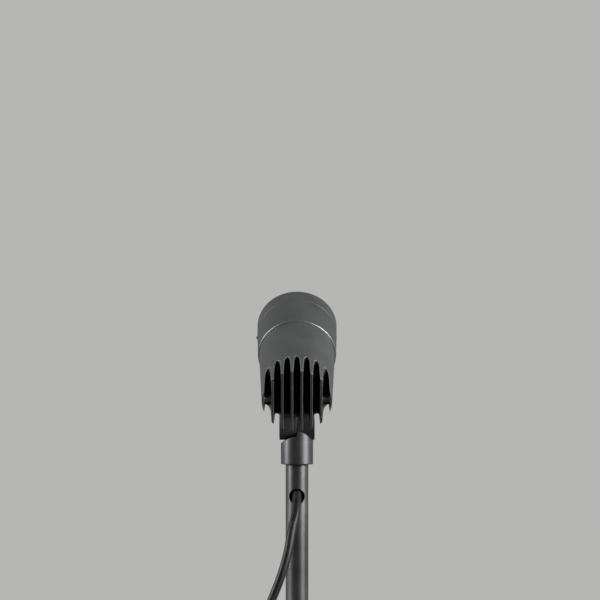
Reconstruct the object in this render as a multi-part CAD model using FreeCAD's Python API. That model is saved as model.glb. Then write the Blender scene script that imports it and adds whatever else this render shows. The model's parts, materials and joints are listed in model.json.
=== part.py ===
import FreeCAD, Part
import math
import os
from FreeCAD import Vector

# Garden spike spotlight, in millimetres and degrees.
# Frame: +Z up, +Y the way the head points, origin on the pole's axis at ground level.
# Head pieces are drawn in the head's own frame (X across, Y forward from the rear face along the
# lamp's axis, Z up from that axis) and set in place by in_head().

# ---------------------------------------------------------------- driving dimensions: head
head_tilt = 28.5             # the axis above the horizon at rest
head_length = 148.5          # rear face to front rim
front_length = 58.5          # barrel and glare ring, from the seam to the front rim
barrel_radius = 38.6
barrel_draft = 0.7           # the barrel narrows by this much from the groove to the seam
seam_step = 1.3              # the barrel stands this far out of the housing
housing_taper = 2.9          # the housing narrows by this much towards its rear face
barrel_edge_radius = 1.2     # rounded rear edge of the barrel
rear_edge_width = 0.6        # broken edge round the rear face
ring_length = 18.0           # glare ring in front of the groove
groove_depth = 0.6           # fine groove between barrel and glare ring

slot_count = 7               # cooling slots, one on the axis
slot_depth = 27.0
slot_share = 0.77            # slot's width at the rear face, as a share of the pitch
slot_draft_width = 1.66      # the slot is this much narrower where its rounded end begins
slot_end_length = 8.5        # long rounded end of each slot
outer_wall = 2.3             # casting outside the outermost slots
web_height = 4.9             # web that ties the outer wall to the first fin
web_rise = 0.9               # its middle above the lamp's axis
web_setback_length = 1.2     # in front of the rear face
web_root_depth = 0.3         # the web runs into the fins by this much
web_length = 5.0
web_hollow = 1.3             # scoop in the web's top
fin_base_length = 7.0        # solid casting between slots and compartment

flat_inset_depth = 4.3       # flat underside inside the rear face's circle
flat_lead_length = 7.0       # the flat begins this far behind the slots' ends, to pass the collar
flat_front_length = 22.0     # the flat ends this far in front of the hinge
flat_ramp_length = 6.0
floor_wall = 3.0             # casting between flat and compartment

barrel_wall = 3.3            # barrel over the housing's spigot
spigot_length = 10.0
spigot_wall = 2.6
plate_ledge = 1.5            # step that the heat plate sits on
plate_thickness = 6.0
plate_setback_length = 4.0   # heat plate's seat behind the seam
boss_radius = 4.0            # three screw bosses for the heat plate
boss_inset_length = 3.0      # their middle inside the compartment's wall
boss_bore_depth = 12.0       # tapped hole in each boss
plate_screw_depth = 10.0     # screw's length inside the boss
boss_count = 3
o_ring_depth = 1.4
o_ring_width = 2.0
o_ring_station = 4.0         # groove's start in front of the seam

glass_thickness = 4.0
glass_seat_wall = 3.0        # barrel round the glass
barrel_throat_wall = 5.0     # barrel behind the glass seat
gasket_thickness = 1.1
gasket_width = 3.4
spigot_overlap = 4.6         # glare ring's spigot inside the barrel
ring_lip = 2.4               # wall at the front rim
ring_throat_wall = 6.5       # from the outside to the mouth, at the glass
rim_edge = 0.9               # rounded front edge

ring_screw_angles = (183.0, 63.0, -57.0)     # round the axis, from +X
ring_screw_radius = 1.0
ring_screw_head_radius = 1.4
ring_screw_head_proud = 1.0
ring_screw_setback = 1.65    # behind the groove
spot_face_depth = 0.4

# ---------------------------------------------------------------- driving dimensions: inside the head
led_share = 0.93             # LED board's side, as a share of the holder's radius
emitter_share = 0.44         # round emitter, as a share of the board's side
led_thickness = 1.4
led_emitter_height = 0.5
pad_thickness = 0.3
holder_gap = 4.0             # holder's edge to the wires' hole
holder_height = 4.6
holder_lap = 1.5             # the holder's mouth stands this far outside the emitter
holder_screw_inset = 2.6     # holder screws inside its edge
small_screw_radius = 1.25
small_head_radius = 2.3
small_head_height = 1.6
reflector_wall = 1.2
reflector_clearance = 0.4    # bowl to the barrel's throat

driver_side_gap = 10.5       # driver to the compartment's wall
driver_height = 22.0
driver_edge_radius = 2.0
driver_end_gap = 4.0         # behind and in front of the driver
driver_plate_gap = 10.0      # driver to heat plate, for the wires' bend
tray_share = 0.2787          # tray's underside below the axis, as a share of the compartment's radius
tray_thickness = 1.5
tray_side = 3.0              # tray past the driver at each side
tray_tab_height = 11.0
tray_screw_drop = 4.0        # screws under the tab's top
tray_screw_depth = 4.0
screw_hole_spare = 1.0       # tapped holes are deeper than their screws
earth_screw_drop = 8.0       # under the tray
terminal_width = 28.0
terminal_length = 16.0
terminal_height = 11.0
terminal_gap = 10.0          # from the rising leads to the block
terminal_bore_depth = 5.0
terminal_bore_radius = 1.8
plate_hole_inset = 10.0      # hole for the LED's wires, inside the plate's edge
plate_hole_radius = 2.6
wire_radius = 0.8
wire_pitch = 2.0
lead_radius = 2.0            # sleeve with the three cores
grommet_radius = 3.2         # hole in the compartment's floor
grommet_flange_radius = 3.6
grommet_flange_thickness = 1.0

# ---------------------------------------------------------------- driving dimensions: knuckle
hinge_share = 0.5333         # hinge axis, as a share of the housing's length
hinge_gap = 15.3             # hinge axis outside the rear face's circle
ear_radius = 18.4
knuckle_width = 34.0
neck_half_length = 14.0
washer_thickness = 0.8
washer_inset = 0.4           # washer's edge inside the ears' edge
washer_gap = 0.03            # to the moving ear, too fine to see daylight through
relief_radius = 21.7         # cut in the collar under the moving ear
ear_web = 3.0                # solid wall of each ear round the pin
chamber_radius = 11.0        # wire chamber in each ear
cap_radius = 12.0
cap_thickness = 2.0
cap_socket = 8.0             # hexagon across flats
cap_socket_depth = 1.2
pin_radius = 6.0
pin_bore = 3.75
pin_head_radius = 9.5
pin_head_height = 2.5
nut_across = 17.0
nut_height = 3.0
spring_thickness = 0.7
channel_radius = 2.6
lead_reach = 10.8            # wires from the parting plane, inside the ears

collar_radius = 15.6
collar_drop = 41.9           # collar's lower edge under the hinge
collar_edge_width = 0.5
collar_cap = 14.6            # tube inside the collar
bush_wall = 1.5
collar_screw_radius = 2.5
collar_screw_rise = 6.9      # above the collar's lower edge
collar_screw_spread = 40.0   # each side of straight ahead
collar_socket = 2.5
pan_groove_depth = 0.6

# ---------------------------------------------------------------- driving dimensions: pole and spike
ground_to_collar = 300.0
pole_radius = 11.0
pole_wall = 2.0
cable_hole_drop = 72.8       # under the hinge
cable_hole_radius = 7.5
cable_radius = 4.25
gland_length = 16.0
gland_drop = 6.5             # under the pole's top
jacket_end = 1.0             # jacket above the gland
exit_slope = 45.0            # cable's fall through the hole
inner_bend_radius = 24.0
flange_radius = 35.0
flange_thickness = 4.0
flange_rim = 2.5
hub_wall = 4.0
hub_height = 6.0
flange_bore_gap = 0.2        # round the spike's boss
foot_length = 32.0
foot_pin_radius = 2.0
foot_pin_rise = 27.0
stud_radius = 4.0
stud_rise = 22.0
spike_length = 220.0
spike_boss_radius = 16.0
spike_boss_height = 16.0
spike_blade = 4.0
spike_tip = 3.0
spike_rib_count = 3          # round stiffeners between the blades
spike_rib_thickness = 2.4
spike_rib_inset = 1.2        # inside the blades' edges
stud_sink = 14.0

# ---------------------------------------------------------------- driving dimensions: cord
coil_layers = 4
coil_half_turns = 3          # half turns in a layer, before the one that climbs
coil_inner_radius = 42.5     # innermost turn's reach
coil_pitch = 10.8
coil_rise = 9.2
coil_centre = (-114.5, 3.0)
tie_thickness = 0.6
tie_width = 12.0
tie_gap = 0.1
plug_radius = 18.5
plug_neck = 9.0
plug_length = 36.0
plug_face = 18.0             # length of the full round
plug_relief_length = 28.0
plug_relief_radius = 5.4
plug_pin_radius = 2.4
plug_pin_length = 19.0
plug_pin_pitch = 19.0
plug_start = -25.5           # where the strain relief begins, along X

# ---------------------------------------------------------------- clearances
fit_gap = 0.1                # between parts that are pushed together
slide_gap = 0.1              # between faces that slide on each other
pin_gap = 0.05               # hinge pin, bush and pole

# ---------------------------------------------------------------- worked out
hinge_height = ground_to_collar + collar_drop
groove_station = head_length - ring_length
seam_station = head_length - front_length
barrel_rear_radius = barrel_radius - barrel_draft
seam_radius = barrel_rear_radius - seam_step
rear_radius = seam_radius - housing_taper
hinge_station = hinge_share * seam_station
hinge_drop = rear_radius + hinge_gap
flat_drop = rear_radius - flat_inset_depth
slot_pitch = (rear_radius - outer_wall) / ((slot_count - 1 + slot_share) / 2)
slot_width = slot_share * slot_pitch
slot_inner_width = slot_width - slot_draft_width
barrel_bore = barrel_radius - barrel_wall
spigot_radius = barrel_bore - fit_gap
plate_seat_radius = spigot_radius - spigot_wall
cavity_radius = plate_seat_radius - plate_ledge
cavity_start = slot_depth + fin_base_length
plate_station = seam_station - plate_setback_length
plate_front = plate_station + plate_thickness
plate_hole_reach = plate_seat_radius - plate_hole_inset
holder_radius = plate_hole_reach - holder_gap
holder_screw_reach = holder_radius - holder_screw_inset
led_side = led_share * holder_radius
led_emitter_radius = emitter_share * led_side
holder_aperture = led_emitter_radius + holder_lap
driver_width = 2 * (cavity_radius - driver_side_gap)
driver_start = cavity_start + driver_end_gap
driver_length = plate_station - driver_plate_gap - driver_start
tray_level = -tray_share * cavity_radius
tray_screw_level = tray_level + tray_thickness + tray_tab_height - tray_screw_drop
terminal_start = hinge_station + terminal_gap
glass_bore = barrel_radius - glass_seat_wall
throat_radius = barrel_radius - barrel_throat_wall
front_gasket_front = groove_station - spigot_overlap
glass_front = front_gasket_front - gasket_thickness
glass_rear = glass_front - glass_thickness
flange_front = glass_rear - gasket_thickness
flange_rear = flange_front - reflector_wall
half_width = knuckle_width / 2
washer_radius = ear_radius - washer_inset
moving_face = washer_thickness / 2 + washer_gap
fixed_face = washer_thickness / 2
cap_face = half_width - cap_thickness
pin_seat = fixed_face + ear_web
nut_seat = moving_face + ear_web
collar_bottom = hinge_height - collar_drop
pole_top = collar_bottom + collar_cap
bush_radius = pole_radius + pin_gap + bush_wall
hole_height = hinge_height - cable_hole_drop
cable_diameter = 2 * cable_radius

along_x = Vector(1, 0, 0)
along_y = Vector(0, 1, 0)
along_z = Vector(0, 0, 1)
os.makedirs("parts", exist_ok=True)


# ---------------------------------------------------------------- helpers
def save(name, *solids):
    shape = solids[0] if len(solids) == 1 else Part.makeCompound(list(solids))
    shape.exportStep("parts/" + name + ".step")
    print(f"{name}: {len(shape.Solids)} solid, {shape.Volume:.0f} mm3, valid {shape.isValid()}")


def rod(radius, start, direction, length):
    return Part.makeCylinder(radius, length, Vector(*start), direction)


def ring(outer, inner, start, direction, length):
    return rod(outer, start, direction, length).cut(rod(inner, start, direction, length))


def block(low, high):
    size = [b - a for a, b in zip(low, high)]
    return Part.makeBox(size[0], size[1], size[2], Vector(*low))


def closed_wire(points):
    corners = [Vector(*point) for point in points]
    return Part.makePolygon(corners + corners[:1])


def lathe(start, steps, axis):
    """A turned solid: (radius, station) steps; a step of two pairs is an arc by its middle and end."""
    across = along_y if axis == along_x else along_x

    def at(pair):
        return across * pair[0] + axis * pair[1]

    edges = []
    here = at(start)
    for step in list(steps) + [start]:
        if isinstance(step[0], tuple):
            middle, end = at(step[0]), at(step[1])
            edges.append(Part.Arc(here, middle, end).toShape())
        else:
            end = at(step)
            edges.append(Part.makeLine(here, end))
        here = end
    face = Part.Face(Part.Wire(edges))
    return face.revolve(Vector(0, 0, 0), axis, 360)


def quarter_round(centre, radius, angle):
    """Middle of a quarter round in (radius, station), at the given angle from outwards."""
    turn = math.radians(angle)
    return (centre[0] + radius * math.cos(turn), centre[1] + radius * math.sin(turn))


def hexagon(across, start, direction, length):
    prism = closed_wire([(across / math.sqrt(3) * math.cos(math.radians(60 * k)),
                          across / math.sqrt(3) * math.sin(math.radians(60 * k)), 0) for k in range(6)])
    solid = Part.Face(prism).extrude(along_z * length)
    solid.Placement = FreeCAD.Placement(Vector(*start), FreeCAD.Rotation(along_z, direction))
    return solid


def in_head(shape):
    placed = shape.copy()
    placed.translate(Vector(0, -hinge_station, hinge_drop))
    placed.rotate(Vector(0, 0, 0), along_x, head_tilt)
    placed.translate(Vector(0, 0, hinge_height))
    return placed


def round_route(points, share=0.45):
    """Straight runs joined by tangent arcs; each arc takes `share` of the shorter run beside it."""
    corners = [Vector(*point) for point in points]
    edges = []
    radii = []
    here = corners[0]
    for before, corner, after in zip(corners, corners[1:], corners[2:]):
        way_in = (corner - before).normalize()
        way_out = (after - corner).normalize()
        half = way_in.getAngle(way_out) / 2
        reach = share * min((corner - before).Length, (after - corner).Length)
        radius = reach / math.tan(half)
        radii.append(radius)
        first = corner - way_in * reach
        last = corner + way_out * reach
        inward = (way_out - way_in).normalize()
        middle = corner + inward * (radius / math.cos(half) - radius)
        edges.append(Part.makeLine(here, first))
        edges.append(Part.Arc(first, middle, last).toShape())
        here = last
    edges.append(Part.makeLine(here, corners[-1]))
    return Part.Wire(edges), radii


def tube(wire, radius, name):
    """A round bar swept along a wire, with its volume set against section times length."""
    first = wire.OrderedEdges[0]
    start = first.valueAt(first.FirstParameter)
    way = first.tangentAt(first.FirstParameter)
    section = Part.Wire([Part.makeCircle(radius, start, way)])
    solid = wire.makePipeShell([section], True, False)
    expected = math.pi * radius ** 2 * wire.Length
    print(f"{name}: length {wire.Length:.1f} mm, volume over section x length {solid.Volume / expected:.4f}")
    return solid


def radial(angle):
    turn = math.radians(angle)
    return Vector(math.cos(turn), 0, math.sin(turn))


# ---------------------------------------------------------------- rear housing
def slot_cutter(x):
    """One slot in plan: straight drafted sides and a long half-elliptic end."""
    wide = slot_width / 2
    narrow = slot_inner_width / 2
    straight_end = slot_depth - slot_end_length
    deep = 2 * barrel_radius
    ellipse = Part.Ellipse(Vector(x, slot_depth, 0), Vector(x + narrow, straight_end, 0),
                           Vector(x, straight_end, 0))
    arch = Part.ArcOfEllipse(ellipse, -math.pi / 2, math.pi / 2).toShape()
    corners = [(x - narrow, straight_end), (x - wide, 0), (x - wide, -1), (x + wide, -1), (x + wide, 0),
               (x + narrow, straight_end)]
    corners = [Vector(px, py, 0) for px, py in corners]
    sides = [Part.makeLine(a, b) for a, b in zip(corners, corners[1:])]
    face = Part.Face(Part.Wire(Part.__sortEdges__(sides + [arch])))
    face.translate(Vector(0, 0, -deep))
    return face.extrude(along_z * 2 * deep)


def make_rear_housing():
    end = seam_station + spigot_length
    edge = rear_edge_width
    body = lathe((0, 0), [(rear_radius - edge, 0), (rear_radius, edge), (seam_radius, seam_station),
                          (spigot_radius, seam_station), (spigot_radius, end), (0, end)], along_y)
    wide = 2 * barrel_radius
    flat_start = slot_depth - flat_lead_length
    flat_end = hinge_station + flat_front_length
    ramp_end = flat_end + flat_ramp_length
    under = Part.Face(closed_wire([(-wide, flat_start, -flat_drop), (-wide, flat_end, -flat_drop),
                                   (-wide, ramp_end, -wide / 2), (-wide, flat_start, -wide / 2)]))
    body = body.cut(under.extrude(along_x * 2 * wide))

    cavity = rod(cavity_radius, (0, cavity_start, 0), along_y, end)
    keep = block((-wide, cavity_start, -flat_drop + floor_wall), (wide, end + cavity_start, wide))
    cavity = cavity.common(keep)
    for k in range(boss_count):
        middle = radial(90 + 360 / boss_count * k) * (cavity_radius - boss_inset_length)
        cavity = cavity.cut(rod(boss_radius, (middle.x, cavity_start, middle.z), along_y,
                                plate_station - cavity_start))
    seat = rod(plate_seat_radius, (0, plate_station, 0), along_y, end)
    body = body.cut(cavity.fuse(seat))
    for k in range(boss_count):
        middle = radial(90 + 360 / boss_count * k) * (cavity_radius - boss_inset_length)
        floor = (middle.x, plate_station - boss_bore_depth, middle.z)
        body = body.cut(rod(small_screw_radius, floor, along_y, boss_bore_depth))

    for k in range(slot_count):
        body = body.cut(slot_cutter((k - (slot_count - 1) / 2) * slot_pitch))
    for side in (-1, 1):
        middle = side * slot_pitch * (slot_count - 1) / 2
        low = web_rise - web_height / 2
        web = block((middle - slot_width / 2 - web_root_depth, web_setback_length, low),
                    (middle + slot_width / 2 + web_root_depth, web_setback_length + web_length,
                     low + web_height))
        scoop_radius = ((slot_width / 2) ** 2 + web_hollow ** 2) / (2 * web_hollow)
        scoop = rod(scoop_radius, (middle, 0, low + web_height + scoop_radius - web_hollow),
                    along_y, 2 * web_length)
        body = body.fuse(web.cut(scoop))

    groove = ring(spigot_radius + 1, spigot_radius - o_ring_depth,
                  (0, seam_station + o_ring_station, 0), along_y, o_ring_width)
    body = body.cut(groove)

    ear = rod(ear_radius, (-half_width, hinge_station, -hinge_drop), along_x, half_width - moving_face)
    neck = block((-half_width, hinge_station - neck_half_length, -hinge_drop),
                 (-moving_face, hinge_station + neck_half_length, -flat_drop + floor_wall / 2))
    body = body.fuse([ear, neck]).removeSplitter()
    centre = (hinge_station, -hinge_drop)
    body = body.cut(rod(cap_radius, (-half_width - 1, *centre), along_x, cap_thickness + 1))
    body = body.cut(rod(chamber_radius, (-cap_face, *centre), along_x, cap_face - nut_seat))
    body = body.cut(rod(pin_radius + pin_gap, (-half_width, *centre), along_x, half_width))
    channel_length = hinge_drop - flat_drop + 2 * floor_wall
    body = body.cut(rod(grommet_radius, (-lead_reach, *centre), along_z, channel_length))

    hole = tray_screw_depth + screw_hole_spare
    places = [(side * driver_width / 4, tray_screw_level) for side in (-1, 1)]
    places.append((driver_width / 3, tray_level - earth_screw_drop))
    for x, z in places:
        body = body.cut(rod(small_screw_radius, (x, cavity_start - hole, z), along_y, 2 * hole))
    return body


# ---------------------------------------------------------------- barrel, glass and glare ring
def ring_screw_station():
    return groove_station - ring_screw_setback


def make_front_barrel():
    inner = barrel_rear_radius - barrel_edge_radius
    front = seam_station + barrel_edge_radius
    edge = quarter_round((inner, front), barrel_edge_radius, -45)
    barrel = lathe((barrel_bore, seam_station),
                   [(inner, seam_station), (edge, (barrel_rear_radius, front)),
                    (barrel_radius, groove_station - groove_depth),
                    (barrel_radius - groove_depth, groove_station),
                    (glass_bore, groove_station), (glass_bore, flange_rear),
                    (throat_radius, flange_rear),
                    (throat_radius, seam_station + spigot_length + fit_gap),
                    (barrel_bore, seam_station + spigot_length + fit_gap)], along_y)
    for angle in ring_screw_angles:
        way = radial(angle)
        seat = way * (barrel_radius - spot_face_depth)
        station = ring_screw_station()
        barrel = barrel.cut(rod(ring_screw_radius + fit_gap, (0, station, 0), way, barrel_radius))
        barrel = barrel.cut(rod(ring_screw_head_radius + fit_gap, (seat.x, station, seat.z), way,
                                2 * spot_face_depth))
    return barrel


def make_glare_ring():
    outer = barrel_radius
    rim = quarter_round((outer - rim_edge, head_length - rim_edge), rim_edge, 45)
    throat = outer - ring_throat_wall
    glare = lathe((throat, front_gasket_front),
                  [(glass_bore - fit_gap, front_gasket_front), (glass_bore - fit_gap, groove_station),
                   (outer - groove_depth, groove_station), (outer, groove_station + groove_depth),
                   (outer, head_length - rim_edge), (rim, (outer - rim_edge, head_length)),
                   (outer - ring_lip, head_length)], along_y)
    for angle in ring_screw_angles:
        glare = glare.cut(rod(ring_screw_radius, (0, ring_screw_station(), 0), radial(angle), barrel_radius))
    return glare


def make_ring_screws():
    screws = []
    seat_reach = barrel_radius - spot_face_depth
    inner_reach = barrel_radius - ring_throat_wall + 0.8
    head_height = spot_face_depth + ring_screw_head_proud
    for angle in ring_screw_angles:
        way = radial(angle)
        inner = way * inner_reach
        seat = way * seat_reach
        station = ring_screw_station()
        shank = rod(ring_screw_radius, (inner.x, station, inner.z), way, seat_reach - inner_reach)
        head = rod(ring_screw_head_radius, (seat.x, station, seat.z), way, head_height)
        top = way * (seat_reach + head_height / 2)
        socket = hexagon(ring_screw_radius * 1.3, (top.x, station, top.z), way, head_height)
        screws.append(shank.fuse(head).cut(socket))
    return screws


def make_front_glass():
    return rod(glass_bore - 3 * fit_gap, (0, glass_rear, 0), along_y, glass_thickness)


def make_gasket(start):
    outer = glass_bore - 2 * fit_gap
    return ring(outer, outer - gasket_width, (0, start, 0), along_y, gasket_thickness)


def make_reflector():
    holder_top = plate_front + holder_height
    rear = holder_aperture
    front = throat_radius - reflector_clearance - reflector_wall
    middle_station = holder_top + (flange_rear - holder_top) / 3
    middle = math.sqrt(rear ** 2 + (front ** 2 - rear ** 2) / 3)
    wall = reflector_wall
    return lathe((rear, holder_top),
                 [((middle, middle_station), (front, flange_rear)), (front, flange_front),
                  (glass_bore - 2 * fit_gap, flange_front), (glass_bore - 2 * fit_gap, flange_rear),
                  (front + wall, flange_rear),
                  ((middle + 0.8 * wall, middle_station - 0.6 * wall), (rear + 1.5 * wall, holder_top))],
                 along_y)


# ---------------------------------------------------------------- LED, heat plate and seal
def holder_screw_places():
    reach = holder_screw_reach / math.sqrt(2)
    return [(reach, reach), (-reach, -reach)]


def make_heat_plate():
    plate = rod(plate_seat_radius - fit_gap, (0, plate_station, 0), along_y, plate_thickness)
    for k in range(boss_count):
        middle = radial(90 + 360 / boss_count * k) * (cavity_radius - boss_inset_length)
        plate = plate.cut(rod(small_screw_radius + 0.25, (middle.x, plate_station, middle.z), along_y,
                              plate_thickness))
    plate = plate.cut(rod(plate_hole_radius, (-plate_hole_reach, plate_station, 0), along_y, plate_thickness))
    for x, z in holder_screw_places():
        plate = plate.cut(rod(small_screw_radius, (x, plate_station, z), along_y, plate_thickness))
    return plate


def make_plate_screws():
    screws = []
    for k in range(boss_count):
        middle = radial(90 + 360 / boss_count * k) * (cavity_radius - boss_inset_length)
        shank = rod(small_screw_radius, (middle.x, plate_station - plate_screw_depth, middle.z), along_y,
                    plate_screw_depth + plate_thickness)
        head = rod(small_head_radius, (middle.x, plate_front, middle.z), along_y, small_head_height)
        screws.append(shank.fuse(head))
    return screws


def square_plate(side, start, thickness):
    return block((-side / 2, start, -side / 2), (side / 2, start + thickness, side / 2))


def make_led_module():
    start = plate_front + pad_thickness
    board = square_plate(led_side, start, led_thickness)
    return board.fuse(rod(led_emitter_radius, (0, start, 0), along_y, led_thickness + led_emitter_height))


def make_led_holder():
    holder = rod(holder_radius, (0, plate_front, 0), along_y, holder_height)
    holder = holder.cut(rod(holder_aperture, (0, plate_front, 0), along_y, holder_height))
    pocket = square_plate(led_side + 2 * fit_gap, plate_front, pad_thickness + led_thickness)
    holder = holder.cut(pocket)
    for x, z in holder_screw_places():
        holder = holder.cut(rod(small_screw_radius + fit_gap, (x, plate_front, z), along_y, holder_height))
        holder = holder.cut(rod(small_head_radius + fit_gap,
                                (x, plate_front + holder_height - small_head_height, z), along_y,
                                small_head_height))
    return holder


def make_holder_screws():
    screws = []
    seat = plate_front + holder_height - small_head_height
    for x, z in holder_screw_places():
        shank = rod(small_screw_radius, (x, plate_station + 1, z), along_y, seat - plate_station - 1)
        screws.append(shank.fuse(rod(small_head_radius, (x, seat, z), along_y, small_head_height)))
    return screws


def make_o_ring():
    floor = spigot_radius - o_ring_depth
    section = (barrel_bore - floor) / 2 - 0.02
    middle = seam_station + o_ring_station + o_ring_width / 2
    torus = Part.makeTorus((barrel_bore + floor) / 2, section, Vector(0, middle, 0), along_y)
    return torus


# ---------------------------------------------------------------- driver, terminals and wires
def make_driver():
    low = tray_level + tray_thickness
    case = block((-driver_width / 2, driver_start, low),
                 (driver_width / 2, driver_start + driver_length, low + driver_height))
    long_edges = [edge for edge in case.Edges if abs(edge.tangentAt(0).y) > 0.9]
    return case.makeFillet(driver_edge_radius, long_edges)


def make_tray():
    half = driver_width / 2 + tray_side
    floor = block((-half, cavity_start, tray_level),
                  (half, driver_start + driver_length, tray_level + tray_thickness))
    tab = block((-half, cavity_start, tray_level),
                (half, cavity_start + tray_thickness, tray_level + tray_thickness + tray_tab_height))
    tray = floor.fuse(tab).removeSplitter()
    for side in (-1, 1):
        place = (side * driver_width / 4, cavity_start, tray_screw_level)
        tray = tray.cut(rod(small_screw_radius + fit_gap, place, along_y, tray_thickness))
    return tray


def make_tray_screws():
    screws = []
    for side in (-1, 1):
        x = side * driver_width / 4
        shank = rod(small_screw_radius, (x, cavity_start - tray_screw_depth, tray_screw_level), along_y,
                    tray_screw_depth + tray_thickness)
        head = rod(small_head_radius, (x, cavity_start + tray_thickness, tray_screw_level), along_y,
                   small_head_height)
        screws.append(shank.fuse(head))
    return screws


def make_terminal_block():
    case = block((-terminal_width / 2, terminal_start, tray_level - terminal_height),
                 (terminal_width / 2, terminal_start + terminal_length, tray_level))
    pitch = terminal_width / 3
    for k in (-1, 0, 1):
        end = terminal_start + terminal_length - terminal_bore_depth
        place = (k * pitch, end, tray_level - terminal_height / 2)
        case = case.cut(rod(terminal_bore_radius, place, along_y, terminal_bore_depth))
    return case


def make_earth_screw():
    x, z = driver_width / 3, tray_level - earth_screw_drop
    lug_thickness = tray_thickness / 2
    shank = rod(small_screw_radius, (x, cavity_start - tray_screw_depth, z), along_y, tray_screw_depth)
    lug = rod(1.5 * small_head_radius, (x, cavity_start, z), along_y, lug_thickness)
    head = rod(small_head_radius, (x, cavity_start + lug_thickness, z), along_y, small_head_height)
    return shank.fuse([lug, head])


def make_led_leads():
    wires = []
    driver_front = driver_start + driver_length
    holder_side = plate_front + holder_height * 0.6
    start_x = driver_width / 2 - driver_end_gap
    for side in (-0.5, 0.5):
        z = side * wire_pitch
        end_x = holder_radius + fit_gap
        route = [(-start_x, driver_front, z), (-start_x, driver_front + driver_plate_gap * 0.3, z),
                 (-plate_hole_reach, plate_station - driver_plate_gap * 0.1, z),
                 (-plate_hole_reach, holder_side, z), (-end_x, holder_side, z)]
        wire, _ = round_route(route)
        wires.append(tube(wire, wire_radius, "led wire"))
    return wires


def make_head_leads():
    rise = tray_level - terminal_height / 2
    route = [(-moving_face - 0.1, hinge_station, -hinge_drop), (-lead_reach, hinge_station, -hinge_drop),
             (-lead_reach, hinge_station, rise), (-lead_reach, terminal_start, rise)]
    wire, _ = round_route(route)
    return tube(wire, lead_radius, "head leads")


def make_lead_grommet():
    top = -flat_drop + floor_wall
    sleeve = ring(grommet_radius, lead_radius, (-lead_reach, hinge_station, -flat_drop), along_z, floor_wall)
    lip = ring(grommet_flange_radius, lead_radius, (-lead_reach, hinge_station, top), along_z,
               grommet_flange_thickness)
    return sleeve.fuse(lip).removeSplitter()


# ---------------------------------------------------------------- knuckle, in the pole's frame
def hinge_point(x, drop=0.0):
    return (x, 0, hinge_height - drop)


def make_ear_cap(side):
    way = along_x * side
    cap = rod(cap_radius - fit_gap, hinge_point(side * cap_face), way, cap_thickness)
    return cap.cut(hexagon(cap_socket, hinge_point(side * (half_width - cap_socket_depth)), way,
                           cap_socket_depth))


def make_moving_ear_cap():
    cap = make_ear_cap(-1)
    cap.translate(Vector(0, 0, -hinge_height))
    cap.translate(Vector(0, hinge_station, -hinge_drop))
    return cap


def channel_ends():
    return (0, 0, pole_top - 2.2), hinge_point(lead_reach, chamber_radius - 2)


def make_knuckle_base():
    edge = collar_edge_width
    collar = lathe((0, collar_bottom),
                   [(collar_radius - edge, collar_bottom), (collar_radius, collar_bottom + edge),
                    (collar_radius, hinge_height), (0, hinge_height)], along_z)
    relief = rod(relief_radius, hinge_point(-2 * half_width), along_x, 2 * half_width + fixed_face)
    ear = rod(ear_radius, hinge_point(fixed_face), along_x, half_width - fixed_face)
    base = collar.cut(relief).fuse(ear).removeSplitter()
    base = base.cut(rod(cap_radius, hinge_point(cap_face), along_x, cap_thickness + 1))
    base = base.cut(rod(chamber_radius, hinge_point(pin_seat), along_x, cap_face - pin_seat))
    base = base.cut(rod(pin_radius + pin_gap, hinge_point(0), along_x, half_width))
    base = base.cut(rod(bush_radius, (0, 0, collar_bottom), along_z, collar_cap + slide_gap))
    low, high = (Vector(*end) for end in channel_ends())
    base = base.cut(rod(channel_radius, tuple(low), high - low, (high - low).Length + 1))
    for way, z in collar_screw_ways():
        base = base.cut(rod(collar_screw_radius, (0, 0, z), way, collar_radius + 1))
    return base


def collar_screw_ways():
    height = collar_bottom + collar_screw_rise
    ways = []
    for side in (-1, 1):
        turn = math.radians(90 + side * collar_screw_spread)
        ways.append((Vector(math.cos(turn), math.sin(turn), 0), height))
    return ways


def make_collar_screws():
    screws = []
    tip = pole_radius - pan_groove_depth + slide_gap
    end = collar_radius - 0.4
    for way, z in collar_screw_ways():
        start = way * tip
        screw = rod(collar_screw_radius, (start.x, start.y, z), way, end - tip)
        mouth = way * (end - 2)
        screws.append(screw.cut(hexagon(collar_socket, (mouth.x, mouth.y, z), way, 2)))
    return screws


def make_pan_bush():
    bush = ring(bush_radius, pole_radius + pin_gap, (0, 0, collar_bottom), along_z, collar_cap)
    for way, z in collar_screw_ways():
        bush = bush.cut(rod(collar_screw_radius, (0, 0, z), way, collar_radius))
    return bush


def pin_end():
    return nut_seat + slide_gap + spring_thickness + nut_height + 0.2


def make_hinge_pin():
    shaft = rod(pin_radius, hinge_point(-pin_end()), along_x, pin_end() + pin_seat)
    head = rod(pin_head_radius, hinge_point(pin_seat), along_x, pin_head_height)
    bore = rod(pin_bore, hinge_point(-pin_end()), along_x, pin_end() + pin_seat + pin_head_height)
    return shaft.fuse(head).cut(bore)


def make_spring_washer():
    start = hinge_point(-nut_seat - slide_gap - spring_thickness)
    return ring(pin_head_radius, pin_radius, start, along_x, spring_thickness)


def make_hinge_nut():
    start = nut_seat + slide_gap + spring_thickness
    nut = hexagon(nut_across, hinge_point(-start), along_x * -1, nut_height)
    return nut.cut(rod(pin_radius, hinge_point(-start - nut_height), along_x, nut_height))


def make_friction_washer():
    return ring(washer_radius, pin_radius, hinge_point(-washer_thickness / 2), along_x, washer_thickness)


def make_base_leads():
    low, high = channel_ends()
    route = [(0, 0, low[2] - 3.0), low, high, hinge_point(lead_reach), hinge_point(fixed_face + 0.2)]
    wire, _ = round_route(route)
    return tube(wire, lead_radius, "base leads")


# ---------------------------------------------------------------- pole, gland and spike
def exit_point(reach):
    """A point of the cable's axis in the hole, `reach` behind the pole's axis."""
    fall = math.tan(math.radians(exit_slope))
    middle = pole_radius - pole_wall / 2
    return (0, -reach, hole_height - (reach - middle) * fall)


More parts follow.
